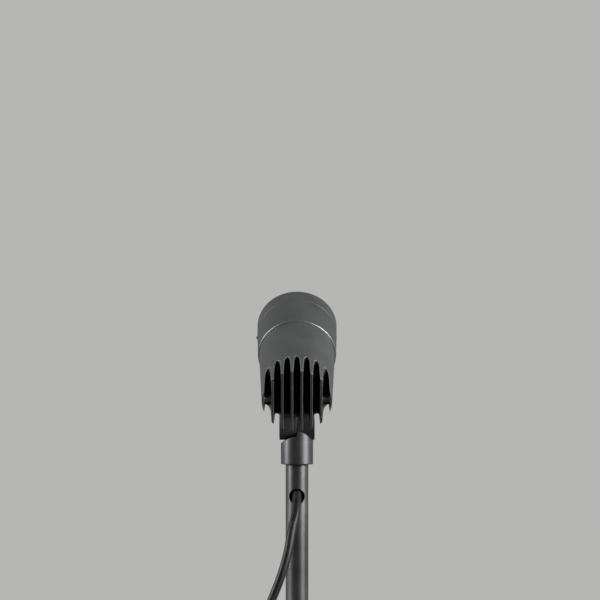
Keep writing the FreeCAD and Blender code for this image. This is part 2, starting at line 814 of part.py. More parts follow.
def make_pole_tube():
    pole = ring(pole_radius, pole_radius - pole_wall, (0, 0, flange_thickness), along_z,
                pole_top - flange_thickness)
    pole = pole.cut(rod(cable_hole_radius, (0, 0, hole_height), along_y * -1, 2 * pole_radius))
    groove_height = 2 * collar_screw_radius + 4 * slide_gap
    groove = ring(pole_radius + 1, pole_radius - pan_groove_depth,
                  (0, 0, collar_bottom + collar_screw_rise - groove_height / 2), along_z, groove_height)
    pole = pole.cut(groove)
    return pole.cut(rod(foot_pin_radius, (-2 * pole_radius, 0, flange_thickness + foot_pin_rise), along_x,
                        4 * pole_radius))


def make_cable_gland():
    low = pole_top - gland_drop - gland_length
    return ring(pole_radius - pole_wall, cable_radius, (0, 0, low), along_z, gland_length)


def make_inner_cable():
    corner = exit_point(0)
    top = (0, 0, pole_top - gland_drop + jacket_end)
    end = exit_point(pole_radius - pole_wall - 0.5)
    last_run = (Vector(*end) - Vector(*corner)).Length
    half = math.radians(90 - exit_slope) / 2
    share = min(0.9, inner_bend_radius * math.tan(half) / last_run)
    wire, radii = round_route([top, corner, end], share)
    print("inner cable: bend radius", [round(radius, 1) for radius in radii])
    return tube(wire, cable_radius, "inner cable")


def make_pole_foot():
    foot = rod(pole_radius - pole_wall - pin_gap, (0, 0, flange_thickness), along_z, foot_length)
    foot = foot.cut(rod(stud_radius, (0, 0, flange_thickness), along_z, stud_rise))
    return foot.cut(rod(foot_pin_radius, (-pole_radius, 0, flange_thickness + foot_pin_rise), along_x,
                        2 * pole_radius))


def make_foot_pin():
    end = pole_radius - 0.2
    return rod(foot_pin_radius, (-end, 0, flange_thickness + foot_pin_rise), along_x, 2 * end)


def make_ground_flange():
    hub_inner = pole_radius + fit_gap
    hub_outer = hub_inner + hub_wall
    hub_top = flange_thickness + hub_height
    bore = spike_boss_radius + flange_bore_gap
    shoulder = (flange_thickness + hub_top) / 2
    return lathe((bore, 0),
                 [(flange_radius, 0), (flange_radius, flange_rim), (hub_outer + hub_wall, shoulder),
                  (hub_outer, hub_top - hub_wall / 4), (hub_outer - hub_wall / 4, hub_top),
                  (hub_inner, hub_top), (hub_inner, flange_thickness), (bore, flange_thickness)], along_z)


def make_spike():
    half = spike_blade / 2
    wide = spike_boss_radius
    outline = [(-wide, 0), (wide, 0), (wide, -spike_boss_height), (spike_tip / 2, -spike_length),
               (-spike_tip / 2, -spike_length), (-wide, -spike_boss_height)]
    blade = Part.Face(closed_wire([(x, -half, z) for x, z in outline])).extrude(along_y * spike_blade)
    other = Part.Face(closed_wire([(-half, x, z) for x, z in outline])).extrude(along_x * spike_blade)
    boss = rod(spike_boss_radius, (0, 0, -spike_boss_height), along_z, spike_boss_height + flange_thickness)
    ribs = []
    blade_length = spike_length - spike_boss_height
    for k in range(spike_rib_count):
        share = (k + 1) / (spike_rib_count + 2)
        reach = wide + (spike_tip / 2 - wide) * share - spike_rib_inset
        level = -spike_boss_height - share * blade_length
        ribs.append(rod(reach, (0, 0, level), along_z, spike_rib_thickness))
    spike = blade.fuse([other, boss] + ribs).removeSplitter()
    return spike.cut(rod(stud_radius, (0, 0, -stud_sink), along_z, stud_sink + flange_thickness))


def make_spike_stud():
    return rod(stud_radius, (0, 0, -stud_sink), along_z, stud_sink + flange_thickness + stud_rise - fit_gap)


# ---------------------------------------------------------------- cord
coil_low = tie_thickness + tie_gap + cable_radius
coil_outer = coil_inner_radius + coil_half_turns * coil_pitch / 2
coil_top = coil_low + (coil_layers - 1) * coil_rise
coil_x, coil_y = coil_centre

# The cable's route by eye: through the hole, down behind the pole as the photo shows it, to the ground
# and flat to the coil. The first and last points follow the hole and the coil.
free_route = [
    exit_point(pole_radius - pole_wall - 0.5),
    exit_point(2 * pole_radius),
    (-5.0, -34.0, 239.0),
    (-8.8, -42.5, 215.0),
    (-16.5, -48.0, 190.0),
    (-28.0, -52.0, 163.0),
    (-37.0, -54.5, 134.0),
    (-41.0, -56.0, 103.0),
    (-42.0, -56.6, 72.0),
    (-44.5, -56.6, 44.5),
    (-53.3, -56.4, 26.5),
    (-67.7, -56.2, 12.6),
    (-86.7, coil_y - coil_outer, coil_low),
    (coil_x + cable_diameter, coil_y - coil_outer, coil_low),
]

# From the coil's top turn down to the plug, which lies on the ground beside it.
tail_route = [
    (coil_x + cable_diameter, coil_y + coil_outer, coil_top),
    (-90.0, coil_y + coil_outer, coil_top),
    (-73.5, 62.4, 28.3),
    (-57.7, 62.6, 21.7),
    (-41.5, 62.6, plug_radius),
    (plug_start, 62.6, plug_radius),
]


def make_cord_stretch(route, name):
    wire, radii = round_route(route)
    print(f"{name}: least bend {min(radii):.1f} mm,", [round(radius) for radius in radii])
    return tube(wire, cable_radius, name)


def coil_wire():
    """Half turns that spiral in and out, and one tilted half turn that climbs to the next layer."""
    def at(reach, z):
        return Vector(coil_x, coil_y + reach, z)

    def half_turn(start, end):
        middle = (start + end) / 2
        side = -1 if start.y < end.y else 1
        return Part.Arc(start, middle + along_x * side * (end - start).Length / 2, end).toShape()

    reach = -coil_outer
    z = coil_low
    here = at(reach, z)
    edges = [Part.makeLine(here + along_x * cable_diameter, here)]
    for layer in range(coil_layers):
        step = -coil_pitch / 2 if layer % 2 == 0 else coil_pitch / 2
        for _ in range(coil_half_turns):
            reach = -math.copysign(abs(reach) + step, reach)
            edges.append(half_turn(here, at(reach, z)))
            here = at(reach, z)
        if layer < coil_layers - 1:
            reach = -reach
            z += coil_rise
            edges.append(half_turn(here, at(reach, z)))
            here = at(reach, z)
    edges.append(Part.makeLine(here, here + along_x * cable_diameter))
    return Part.Wire(edges)


def least_gap(wire, diameter):
    """The coil's nearest approach to itself, on points about 3 mm apart."""
    points = []
    length = 0.0
    for edge in wire.OrderedEdges:
        count = max(2, int(edge.Length / 3))
        for k in range(count):
            points.append((length + edge.Length * k / count, edge.valueAt(edge.getParameterByLength(
                edge.Length * k / count))))
        length += edge.Length
    least = length
    for k, (station, point) in enumerate(points):
        for other_station, other in points[k + 1:]:
            if other_station - station > 6 * diameter:
                least = min(least, point.distanceToPoint(other))
    return least - diameter


def make_cord_coil():
    wire = coil_wire()
    print(f"cord coil: least gap to itself {least_gap(wire, cable_diameter):.2f} mm")
    return tube(wire, cable_radius, "cord coil")


def make_cord_tie():
    step = coil_pitch / 2
    outer = coil_outer - step / 2 + cable_radius + tie_gap
    sag = 1.2
    inner = coil_inner_radius + step / 2 - cable_radius - tie_gap - sag
    low = coil_low - cable_radius - tie_gap
    high = coil_top + cable_radius + tie_gap

    def loop(grow, radius):
        box = block((coil_x - outer - grow, coil_y - tie_width / 2, low - grow),
                    (coil_x - inner + grow, coil_y + tie_width / 2, high + grow))
        return box.makeFillet(radius, [edge for edge in box.Edges if abs(edge.tangentAt(0).y) > 0.9])

    return loop(tie_thickness, cable_radius - 0.1 + tie_thickness).cut(loop(0, cable_radius - 0.1))


def plug_axis(solid):
    solid.translate(Vector(plug_start, tail_route[-1][1], plug_radius))
    return solid


def make_plug_relief():
    return plug_axis(lathe((0, 0), [(plug_relief_radius, 0), (plug_neck - 1, plug_relief_length),
                                    (0, plug_relief_length)], along_x))


def make_plug_body():
    start = plug_relief_length
    shoulder = start + plug_length - plug_face
    body = lathe((0, start), [(plug_neck, start), (plug_radius - 3.5, shoulder - 7), (plug_radius, shoulder),
                              (plug_radius, start + plug_length - 1), (plug_radius - 1, start + plug_length),
                              (0, start + plug_length)], along_x)
    for side in (-1, 1):
        notch = block((shoulder + 4, side * (plug_radius - 0.75) - 0.75, -3.5),
                      (start + plug_length + 1, side * (plug_radius - 0.75) + 0.75, 3.5))
        body = body.cut(notch)
    return plug_axis(body)


def make_plug_pins():
    start = plug_relief_length + plug_length
    pins = []
    for side in (-0.5, 0.5):
        centre = (start, side * plug_pin_pitch, 0)
        pin = rod(plug_pin_radius, centre, along_x, plug_pin_length)
        end = [edge for edge in pin.Edges if edge.BoundBox.XMin > start + plug_pin_length - 0.01]
        pins.append(plug_axis(pin.makeFillet(plug_pin_radius * 0.6, end)))
    return pins


# ---------------------------------------------------------------- write every node
def save_in_head(name, *solids):
    save(name, *[in_head(solid) for solid in solids])


save_in_head("rear_housing", make_rear_housing())
save_in_head("front_barrel", make_front_barrel())
save_in_head("glare_ring", make_glare_ring())
save_in_head("ring_screws", *make_ring_screws())
save_in_head("front_glass", make_front_glass())
save_in_head("glass_gasket_front", make_gasket(glass_front))
save_in_head("glass_gasket_rear", make_gasket(flange_front))
save_in_head("reflector", make_reflector())
save_in_head("heat_plate", make_heat_plate())
save_in_head("plate_screws", *make_plate_screws())
save_in_head("thermal_pad", square_plate(led_side, plate_front, pad_thickness))
save_in_head("led_module", make_led_module())
save_in_head("led_holder", make_led_holder())
save_in_head("holder_screws", *make_holder_screws())
save_in_head("housing_o_ring", make_o_ring())
save_in_head("led_driver", make_driver())
save_in_head("driver_tray", make_tray())
save_in_head("tray_screws", *make_tray_screws())
save_in_head("terminal_block", make_terminal_block())
save_in_head("earth_screw", make_earth_screw())
save_in_head("led_leads", *make_led_leads())
save_in_head("head_leads", make_head_leads())
save_in_head("lead_grommet", make_lead_grommet())
save_in_head("moving_ear_cap", make_moving_ear_cap())

save("knuckle_base", make_knuckle_base())
save("fixed_ear_cap", make_ear_cap(1))
save("hinge_pin", make_hinge_pin())
save("spring_washer", make_spring_washer())
save("hinge_nut", make_hinge_nut())
save("friction_washer", make_friction_washer())
save("pan_bush", make_pan_bush())
save("collar_screws", *make_collar_screws())
save("base_leads", make_base_leads())

save("pole_tube", make_pole_tube())
save("cable_gland", make_cable_gland())
save("inner_cable", make_inner_cable())
save("pole_foot", make_pole_foot())
save("foot_pin", make_foot_pin())
save("ground_flange", make_ground_flange())
save("spike_body", make_spike())
save("spike_stud", make_spike_stud())

save("cord_free", make_cord_stretch(free_route, "cord free"))
save("cord_coil", make_cord_coil())
save("cord_tail", make_cord_stretch(tail_route, "cord tail"))
save("cord_tie", make_cord_tie())
save("plug_relief", make_plug_relief())
save("plug_body", make_plug_body())
save("plug_pins", *make_plug_pins())
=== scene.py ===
import json
import math

import bmesh
import bpy
from mathutils import Matrix, Vector


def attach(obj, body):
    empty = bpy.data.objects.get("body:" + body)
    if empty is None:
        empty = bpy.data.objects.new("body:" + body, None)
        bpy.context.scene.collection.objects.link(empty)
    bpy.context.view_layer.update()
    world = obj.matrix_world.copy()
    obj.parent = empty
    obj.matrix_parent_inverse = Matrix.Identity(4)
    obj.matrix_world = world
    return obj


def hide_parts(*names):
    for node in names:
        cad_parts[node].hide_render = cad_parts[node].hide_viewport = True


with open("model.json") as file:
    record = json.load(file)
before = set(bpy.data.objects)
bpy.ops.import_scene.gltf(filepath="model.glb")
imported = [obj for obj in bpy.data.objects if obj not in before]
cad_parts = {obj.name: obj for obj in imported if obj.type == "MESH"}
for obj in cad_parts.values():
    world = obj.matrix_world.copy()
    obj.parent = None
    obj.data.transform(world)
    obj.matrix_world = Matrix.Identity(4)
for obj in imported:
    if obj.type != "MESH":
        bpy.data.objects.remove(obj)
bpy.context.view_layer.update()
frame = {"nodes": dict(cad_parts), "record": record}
nodes = frame["nodes"]
mm = 0.001
print("frame loaded,", len(nodes), "nodes")


# small helpers
def linear(hexColour):  # sRGB hex to linear colour
    parts = [int(hexColour[k:k + 2], 16) / 255 for k in (1, 3, 5)]
    return [c / 12.92 if c <= 0.04045 else ((c + 0.055) / 1.055) ** 2.4 for c in parts] + [1.0]


def addNode(tree, kind, inputs=None, **settings):  # inputs: values, hex colours, sockets or nodes
    node = tree.nodes.new(kind if "Node" in kind else "ShaderNode" + kind)
    for name, value in settings.items():
        setattr(node, name, value)
    for key, value in (inputs or {}).items():
        if isinstance(value, bpy.types.Node):
            value = value.outputs[0]
        if isinstance(value, bpy.types.NodeSocket):
            tree.links.new(value, node.inputs[key])
        else:
            node.inputs[key].default_value = linear(value) if isinstance(value, str) else value
    return node


def newMaterial(name):  # with its empty tree and its Object coordinates
    material = bpy.data.materials.new(name)
    material.use_nodes = True
    tree = material.node_tree
    tree.nodes.clear()
    return material, tree, addNode(tree, "TexCoord").outputs["Object"]


def noiseScale(sizeMm):  # noise cells of this size on Object coordinates in metres
    return 1000 / sizeMm


def newPiece(name, mesh, material=None):
    piece = bpy.data.objects.new(name, mesh)
    bpy.context.scene.collection.objects.link(piece)
    if material:
        piece.data.materials.append(material)
    return piece


def newGeometryTree(name, inputs):
    tree = bpy.data.node_groups.new(name, "GeometryNodeTree")
    tree.interface.new_socket("Geometry", in_out="INPUT", socket_type="NodeSocketGeometry")
    for label, kind in inputs.items():
        tree.interface.new_socket(label, in_out="INPUT", socket_type="NodeSocket" + kind)
    tree.interface.new_socket("Geometry", in_out="OUTPUT", socket_type="NodeSocketGeometry")
    return tree


def bakeTree(piece, tree, values):  # runs the tree once and keeps a plain mesh
    modifier = piece.modifiers.new(tree.name, "NODES")
    modifier.node_group = tree
    for item in tree.interface.items_tree:
        if item.in_out == "INPUT" and item.name in values:
            modifier[item.identifier] = values[item.name]
    evaluated = piece.evaluated_get(bpy.context.evaluated_depsgraph_get())
    plain = bpy.data.meshes.new_from_object(evaluated)
    piece.modifiers.remove(modifier)
    piece.data = plain


def smoothFaces(mesh, smooth=True):
    for face in mesh.polygons:
        face.use_smooth = smooth


# camera: level, straight behind the lamp, a little above the hinge
view = {"distance": 5.0, "height": 0.4584, "side": 0.0029, "pixelsPerMetre": 1036.4, "imageWidth": 600,
    "sensor": 36}
cameraData = bpy.data.cameras.new("rearCamera")
cameraData.sensor_width = view["sensor"]
cameraData.lens = view["pixelsPerMetre"] * view["distance"] * view["sensor"] / view["imageWidth"]
cameraData.clip_end = 100
camera = bpy.data.objects.new("rearCamera", cameraData)
camera.location = (view["side"], -view["distance"], view["height"])
camera.rotation_euler = (math.pi / 2, 0, 0)
bpy.context.scene.collection.objects.link(camera)
bpy.context.scene.camera = camera
print("camera placed")

# rubber-jacketed cable, extruded: near black, a dull skin with a soft shine and a faint chalky bloom
jacket = {"black": "#1b1b1d", "bloom": "#3c3c3e", "bloomSize": 9.0, "grain": 1.4, "grainDepth": 0.03,
    "roughness": 0.4, "gloss": 0.5}
jacketMaterial, tree, place = newMaterial("extrudedRubberJacket")
bloom = addNode(tree, "TexNoise", {"Vector": place, "Scale": noiseScale(jacket["bloomSize"]), "Detail": 5.0,
    "Roughness": 0.6})
# real grain is 0.1 mm, drawn coarser to show
grain = addNode(tree, "TexNoise", {"Vector": place, "Scale": noiseScale(jacket["grain"]), "Detail": 2.0})
bloomAmount = addNode(tree, "MapRange", {"Value": bloom, "From Min": 0.45, "From Max": 0.75, "To Min": 0.0,
    "To Max": 0.55})
colour = addNode(tree, "Mix", {0: bloomAmount, 6: jacket["black"], 7: jacket["bloom"]}, data_type="RGBA")
rough = addNode(tree, "MapRange", {"Value": bloom, "From Min": 0.3, "From Max": 0.8,
    "To Min": jacket["roughness"] - 0.06, "To Max": jacket["roughness"] + 0.16})
bump = addNode(tree, "Bump", {"Height": grain, "Strength": 0.5, "Distance": jacket["grainDepth"] * mm})
shader = addNode(tree, "BsdfPrincipled", {"Base Color": colour.outputs[2], "Roughness": rough, "IOR": 1.52,
    "Specular IOR Level": jacket["gloss"], "Normal": bump})
addNode(tree, "OutputMaterial", {"Surface": shader})

# the cable: out of the hole, down behind the pole, flat on the ground into its coil, then to the plug
cable = {"diameter": 8.5, "coilCentre": (-114.5, 3.0), "outer": 58.7, "pitch": 10.8, "rise": 9.2, "low": 4.95,
    "layers": 4, "halfTurns": 3, "pointsPerHalfTurn": 8, "length": 2.78, "profileSteps": 9, "routeSteps": 8}
freeRoute = [(0, -8.5, 270.6), (0, -22, 257.1), (-5, -34, 239), (-8.8, -42.5, 215), (-16.5, -48, 190),
    (-28, -52, 163), (-37, -54.5, 134), (-41, -56, 103), (-42, -56.6, 72), (-44.5, -56.6, 44.5),
    (-53.3, -56.4, 26.5), (-67.7, -56.2, 12.6), (-86.7, -55.7, 4.95), (-106, -55.7, 4.95)]
tailRoute = [(-106, 61.7, 32.55), (-90, 61.7, 32.55), (-73.5, 62.4, 28.3), (-57.7, 62.6, 21.7),
    (-41.5, 62.6, 18.5), (-25.5, 62.6, 18.5)]


def coilRoute(values):  # half turns that spiral in and out, and one that climbs to the next layer
    centreX, centreY = values["coilCentre"]
    count = values["pointsPerHalfTurn"]
    reach, level = -values["outer"], values["low"]
    route = []
    for layer in range(values["layers"]):
        change = -values["pitch"] / 2 if layer % 2 == 0 else values["pitch"] / 2
        halfTurns = values["halfTurns"] + (1 if layer < values["layers"] - 1 else 0)
        for turn in range(halfTurns):
            climbing = turn == values["halfTurns"]
            target = -reach if climbing else -math.copysign(abs(reach) + change, reach)
            radius = abs(target - reach) / 2 / math.cos(math.pi / 2 / count)
            side = -1 if target > reach else 1
            for k in range(count):
                angle = math.pi * (k + 0.5) / count
                share = (1 - math.cos(angle)) / 2 if climbing else 0
                route.append((centreX + side * radius * math.sin(angle), centreY + (reach + target) / 2
                    - math.copysign(radius, target) * math.cos(angle), level + share * values["rise"]))
            reach = target
            level += values["rise"] if climbing else 0
    return route


def cordCurve(name, route, diameterMm, material):
    curve = bpy.data.curves.new(name, "CURVE")
    curve.dimensions = "3D"
    curve.bevel_depth = diameterMm / 2 * mm
    curve.bevel_resolution = cable["profileSteps"]
    curve.resolution_u = cable["routeSteps"]
    curve.use_fill_caps = True
    spline = curve.splines.new("NURBS")
    spline.points.add(len(route) - 1)
    for point, (x, y, z) in zip(spline.points, route):
        point.co = (x * mm, y * mm, z * mm, 1)
    spline.order_u = 3
    spline.use_endpoint_u = True
    return newPiece(name, curve, material)


cordPiece = cordCurve("rubberCable", freeRoute + coilRoute(cable) + tailRoute, cable["diameter"],
    jacketMaterial)
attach(cordPiece, "pole")
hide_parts("cord_free", "cord_coil", "cord_tail")
print("cable laid,", len(cordPiece.data.splines[0].points), "points")

# soft rubber, moulded: matt black with a fine sparked texture, greyer and smoother where hands rub it
# real texture is 0.3 mm, drawn coarser to show
moulded = {"black": "#202022", "rubbed": "#323234", "grain": 1.1, "grainDepth": 0.05, "roughness": 0.55,
    "edge": 0.6, "handling": 14.0}
mouldedMaterial, tree, place = newMaterial("mouldedPlugRubber")
softEdge = addNode(tree, "Bevel", {"Radius": moulded["edge"] * mm}, samples=4)
grain = addNode(tree, "TexNoise", {"Vector": place, "Scale": noiseScale(moulded["grain"]), "Detail": 3.0})
handling = addNode(tree, "TexNoise", {"Vector": place, "Scale": noiseScale(moulded["handling"]),
    "Detail": 3.0})
handled = addNode(tree, "MapRange", {"Value": handling, "From Min": 0.4, "From Max": 0.8, "To Max": 0.7})
colour = addNode(tree, "Mix", {0: handled, 6: moulded["black"], 7: moulded["rubbed"]}, data_type="RGBA")
rough = addNode(tree, "MapRange", {"Value": handling, "From Min": 0.3, "From Max": 0.8,
    "To Min": moulded["roughness"] + 0.08, "To Max": moulded["roughness"] - 0.1})
bump = addNode(tree, "Bump", {"Height": grain, "Strength": 0.6, "Distance": moulded["grainDepth"] * mm,
    "Normal": softEdge})
shader = addNode(tree, "BsdfPrincipled", {"Base Color": colour.outputs[2], "Roughness": rough, "IOR": 1.5,
    "Normal": bump})
addNode(tree, "OutputMaterial", {"Surface": shader})

# plug: a turned body whose grip has flutes, and a tapered sleeve with rings that lets the cable bend
plug = {"start": -25.5, "side": 62.6, "height": 18.5, "reliefLength": 28.0, "gripEdge": 1.5, "flutes": 30,
    "fluteDepth": 0.55, "gripFrom": 21.0, "gripTo": 31.5, "rings": 8, "ringWidth": 1.7, "sleeveSmall": 4.7,
    "sleeveLarge": 7.1, "ringSmall": 5.4, "ringLarge": 7.9, "segments": 240,
    "edge": 0.35}
plugPlace = Matrix.Translation(Vector((plug["start"], plug["side"], plug["height"])) * mm)


def turnedMesh(name, profile, segments):  # profile of (along X, radius) in mm, closed at both ends
    work = bmesh.new()
    rings = []
    for x, radius in profile:
        if radius < 0.01:
            rings.append([work.verts.new((x * mm, 0, 0))])
        else:
            turns = [2 * math.pi * k / segments for k in range(segments)]
            rings.append([work.verts.new((x * mm, radius * mm * math.cos(turn), radius * mm * math.sin(turn)))
                for turn in turns])
    for first, second in zip(rings, rings[1:]):
        for k in range(segments):
            n = (k + 1) % segments
            if len(first) == 1:
                work.faces.new((first[0], second[k], second[n]))
            elif len(second) == 1:
                work.faces.new((first[k], second[0], first[n]))
            else:
                work.faces.new((first[k], second[k], second[n], first[n]))
    bmesh.ops.recalc_face_normals(work, faces=work.faces)
    mesh = bpy.data.meshes.new(name)
    work.to_mesh(mesh)
    work.free()
    return mesh


def fluteTree():  # pushes the grip in between its ribs
    tree = newGeometryTree("fluted grip", {"Flutes": "Int", "Depth": "Float", "From": "Float", "To": "Float",
        "Edge": "Float", "Material": "Material"})
    entry = addNode(tree, "NodeGroupInput")
    position = addNode(tree, "GeometryNodeInputPosition")
    parts = addNode(tree, "SeparateXYZ", {0: position})
    angle = addNode(tree, "Math", {0: parts.outputs["Z"], 1: parts.outputs["Y"]}, operation="ARCTAN2")
    turns = addNode(tree, "Math", {0: angle, 1: entry.outputs["Flutes"]}, operation="MULTIPLY")
    wave = addNode(tree, "Math", {0: turns}, operation="COSINE")
    valley = addNode(tree, "MapRange", {"Value": wave, "From Min": -0.6, "From Max": 0.7, "To Min": -1.0,
        "To Max": 0.0}, interpolation_type="SMOOTHSTEP")
    fades = []
    for label, way in (("From", "ADD"), ("To", "SUBTRACT")):
        inner = addNode(tree, "Math", {0: entry.outputs[label], 1: entry.outputs["Edge"]}, operation=way)
        fades.append(addNode(tree, "MapRange", {"Value": parts.outputs["X"], "From Min": entry.outputs[label],
            "From Max": inner}, interpolation_type="SMOOTHSTEP"))
    window = addNode(tree, "Math", {0: fades[0], 1: fades[1]}, operation="MULTIPLY")
    amount = addNode(tree, "Math", {0: window, 1: valley}, operation="MULTIPLY")
    depth = addNode(tree, "Math", {0: amount, 1: entry.outputs["Depth"]}, operation="MULTIPLY")
    radial = addNode(tree, "CombineXYZ", {"Y": parts.outputs["Y"], "Z": parts.outputs["Z"]})
    outwards = addNode(tree, "VectorMath", {0: radial}, operation="NORMALIZE")
    offset = addNode(tree, "VectorMath", {0: outwards, "Scale": depth}, operation="SCALE")
    shaped = addNode(tree, "GeometryNodeSetPosition", {"Geometry": entry.outputs["Geometry"],
        "Offset": offset})
    coloured = addNode(tree, "GeometryNodeSetMaterial", {"Geometry": shaped,
        "Material": entry.outputs["Material"]})
    addNode(tree, "NodeGroupOutput", {"Geometry": coloured})
    return tree


bodyStart = plug["reliefLength"]
bodyProfile = [(0, 0), (0, 8.4), (0.5, 9), (3, 9.9), (6, 11.4), (8.5, 13.1), (10.5, 14.8), (13, 16.5),
    (15.5, 17.8), (17.2, 18.4)] + [(18 + 0.5 * k, 18.5) for k in range(33)] + [(34.6, 18.4), (35.2, 18.1),
    (35.7, 17.6), (36, 17), (36, 16.2), (35.6, 16), (35.4, 15.6), (35.4, 0)]
plugMesh = turnedMesh("plugBody", [(x + bodyStart, radius) for x, radius in bodyProfile], plug["segments"])
plugBody = newPiece("plugBody", plugMesh)
bakeTree(plugBody, fluteTree(), {"Flutes": plug["flutes"], "Depth": plug["fluteDepth"] * mm,
    "Edge": plug["gripEdge"] * mm, "From": (bodyStart + plug["gripFrom"] - plug["gripEdge"]) * mm,
    "To": (bodyStart + plug["gripTo"] + plug["gripEdge"]) * mm, "Material": mouldedMaterial})
plugBody.data.transform(plugPlace)
smoothFaces(plugBody.data)
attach(plugBody, "pole")
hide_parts("plug_body")


def reliefTree():  # rings on a tapered sleeve, each wider than the last
    tree = newGeometryTree("ringed sleeve", {"Rings": "Int", "Length": "Float", "Ring Width": "Float",
        "Small": "Float", "Large": "Float", "Material": "Material"})
    entry = addNode(tree, "NodeGroupInput")
    step = addNode(tree, "Math", {0: entry.outputs["Length"], 1: entry.outputs["Rings"]}, operation="DIVIDE")
    first = addNode(tree, "Math", {0: step, 1: 0.5}, operation="MULTIPLY")
    start = addNode(tree, "CombineXYZ", {"X": first})
    along = addNode(tree, "CombineXYZ", {"X": step})
    line = addNode(tree, "GeometryNodeMeshLine", {"Count": entry.outputs["Rings"], "Start Location": start,
        "Offset": along})
    ring = addNode(tree, "GeometryNodeMeshCylinder", {"Vertices": 64, "Radius": 1.0,
        "Depth": entry.outputs["Ring Width"]})
    index = addNode(tree, "GeometryNodeInputIndex")
    last = addNode(tree, "Math", {0: entry.outputs["Rings"], 1: 1.0}, operation="SUBTRACT")
    radius = addNode(tree, "MapRange", {"Value": index, "From Max": last, "To Min": entry.outputs["Small"],
        "To Max": entry.outputs["Large"]})
    size = addNode(tree, "CombineXYZ", {"X": radius, "Y": radius, "Z": 1.0})
    rings = addNode(tree, "GeometryNodeInstanceOnPoints", {"Points": line, "Instance": ring,
        "Rotation": (0, math.pi / 2, 0), "Scale": size})
    joined = addNode(tree, "GeometryNodeJoinGeometry")
    tree.links.new(rings.outputs[0], joined.inputs[0])
    tree.links.new(entry.outputs["Geometry"], joined.inputs[0])
    real = addNode(tree, "GeometryNodeRealizeInstances", {0: joined})
    coloured = addNode(tree, "GeometryNodeSetMaterial", {"Geometry": real,
        "Material": entry.outputs["Material"]})
    addNode(tree, "NodeGroupOutput", {"Geometry": coloured})
    return tree


small, large, length = plug["sleeveSmall"], plug["sleeveLarge"], plug["reliefLength"]
sleeveProfile = [(0, 0), (0, small)] + [(x, small + (large - small) * x / length) for x in range(2, 28, 2)]
sleeveProfile += [(length, large), (length, 0)]
plugRelief = newPiece("plugRelief", turnedMesh("plugRelief", sleeveProfile, 64))
bakeTree(plugRelief, reliefTree(), {"Rings": plug["rings"], "Length": plug["reliefLength"] * mm,
    "Ring Width": plug["ringWidth"] * mm, "Small": plug["ringSmall"] * mm, "Large": plug["ringLarge"] * mm,
    "Material": mouldedMaterial})
plugRelief.data.transform(plugPlace)
softener = plugRelief.modifiers.new("softEdges", "BEVEL")
softener.width = plug["edge"] * mm
softener.segments = 2
softener.limit_method = "ANGLE"
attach(plugRelief, "pole")
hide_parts("plug_relief")
print("plug made")

# hook-and-loop strap, woven polyamide: black, very rough, a fine rib across and fuzzy edges
weave = {"dark": "#141416", "light": "#2b2b2e", "ribPitch": 1.2, "ribDepth": 0.15, "fuzz": 0.8,
    "waveTurn": 6.283}  # the wave texture repeats once in 2 pi
strapMaterial, tree, place = newMaterial("wovenStrap")
ribs = addNode(tree, "TexWave", {"Vector": place, "Scale": noiseScale(weave["ribPitch"]) / weave["waveTurn"],
    "Distortion": 0.6, "Detail": 2.0, "Detail Scale": 2.0}, bands_direction="Y")
fuzz = addNode(tree, "TexNoise", {"Vector": place, "Scale": noiseScale(weave["fuzz"]), "Detail": 4.0})
height = addNode(tree, "Math", {0: ribs.outputs["Fac"], 1: fuzz}, operation="ADD")
colour = addNode(tree, "Mix", {0: fuzz, 6: weave["dark"], 7: weave["light"]}, data_type="RGBA")
bump = addNode(tree, "Bump", {"Height": height, "Strength": 0.8, "Distance": weave["ribDepth"] * mm})
shader = addNode(tree, "BsdfPrincipled", {"Base Color": colour.outputs[2], "Roughness": 0.92,
    "Sheen Weight": 0.35, "Sheen Roughness": 0.5, "Normal": bump})
addNode(tree, "OutputMaterial", {"Surface": shader})

# the strap round the coil, its end lapped over the top
strap = {"left": -175.3, "right": -156.2, "low": 0.3, "high": 37.2, "corner": 4.4, "middle": 3.0,
    "width": 12.0, "thickness": 0.6, "lap": 15.0, "lapRise": 0.95, "tipRise": 0.5, "start": (7.5, 4.0),
    "rows": 7, "steps": 8, "edge": 0.2}


def strapPath(values):
    left, right, low, high = (values[key] for key in ("left", "right", "low", "high"))
    corner = values["corner"]
    centres = [(right - corner, high - corner, 90, 0), (right - corner, low + corner, 0, -90),
        (left + corner, low + corner, -90, -180), (left + corner, high - corner, 180, 90)]
    path = []
    for x, z, start, end in centres:
        for k in range(values["steps"] + 1):
            angle = math.radians(start + (end - start) * k / values["steps"])
            path.append((x + corner * math.cos(angle), z + corner * math.sin(angle)))
    x, z = path[-1]
    for k in range(1, values["steps"] + 1):  # the lapped end rises onto the strap and runs across the top
        tip = values["tipRise"] if k == values["steps"] else 0
        path.append((x + values["lap"] * k / values["steps"], z + values["lapRise"] * min(1, k / 2) + tip))
    return [(path[0][0] - back, path[0][1]) for back in values["start"]] + path


work = bmesh.new()
rows = []
path = strapPath(strap)
for x, z in path:
    row = []
    for k in range(strap["rows"]):
        across = strap["width"] * (k / (strap["rows"] - 1) - 0.5)
        row.append(work.verts.new((x * mm, (strap["middle"] + across) * mm, z * mm)))
    rows.append(row)
for first, second in zip(rows, rows[1:]):
    for k in range(strap["rows"] - 1):
        work.faces.new((first[k], first[k + 1], second[k + 1], second[k]))
strapMesh = bpy.data.meshes.new("coilStrap")
work.to_mesh(strapMesh)
work.free()
coilStrap = newPiece("coilStrap", strapMesh, strapMaterial)
solid = coilStrap.modifiers.new("thickness", "SOLIDIFY")
solid.thickness = strap["thickness"] * mm
solid.offset = 0
rounder = coilStrap.modifiers.new("softEdge", "BEVEL")
rounder.width = strap["edge"] * mm
rounder.segments = 2
smoothFaces(strapMesh)
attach(coilStrap, "pole")
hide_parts("cord_tie")
print("coil tied")

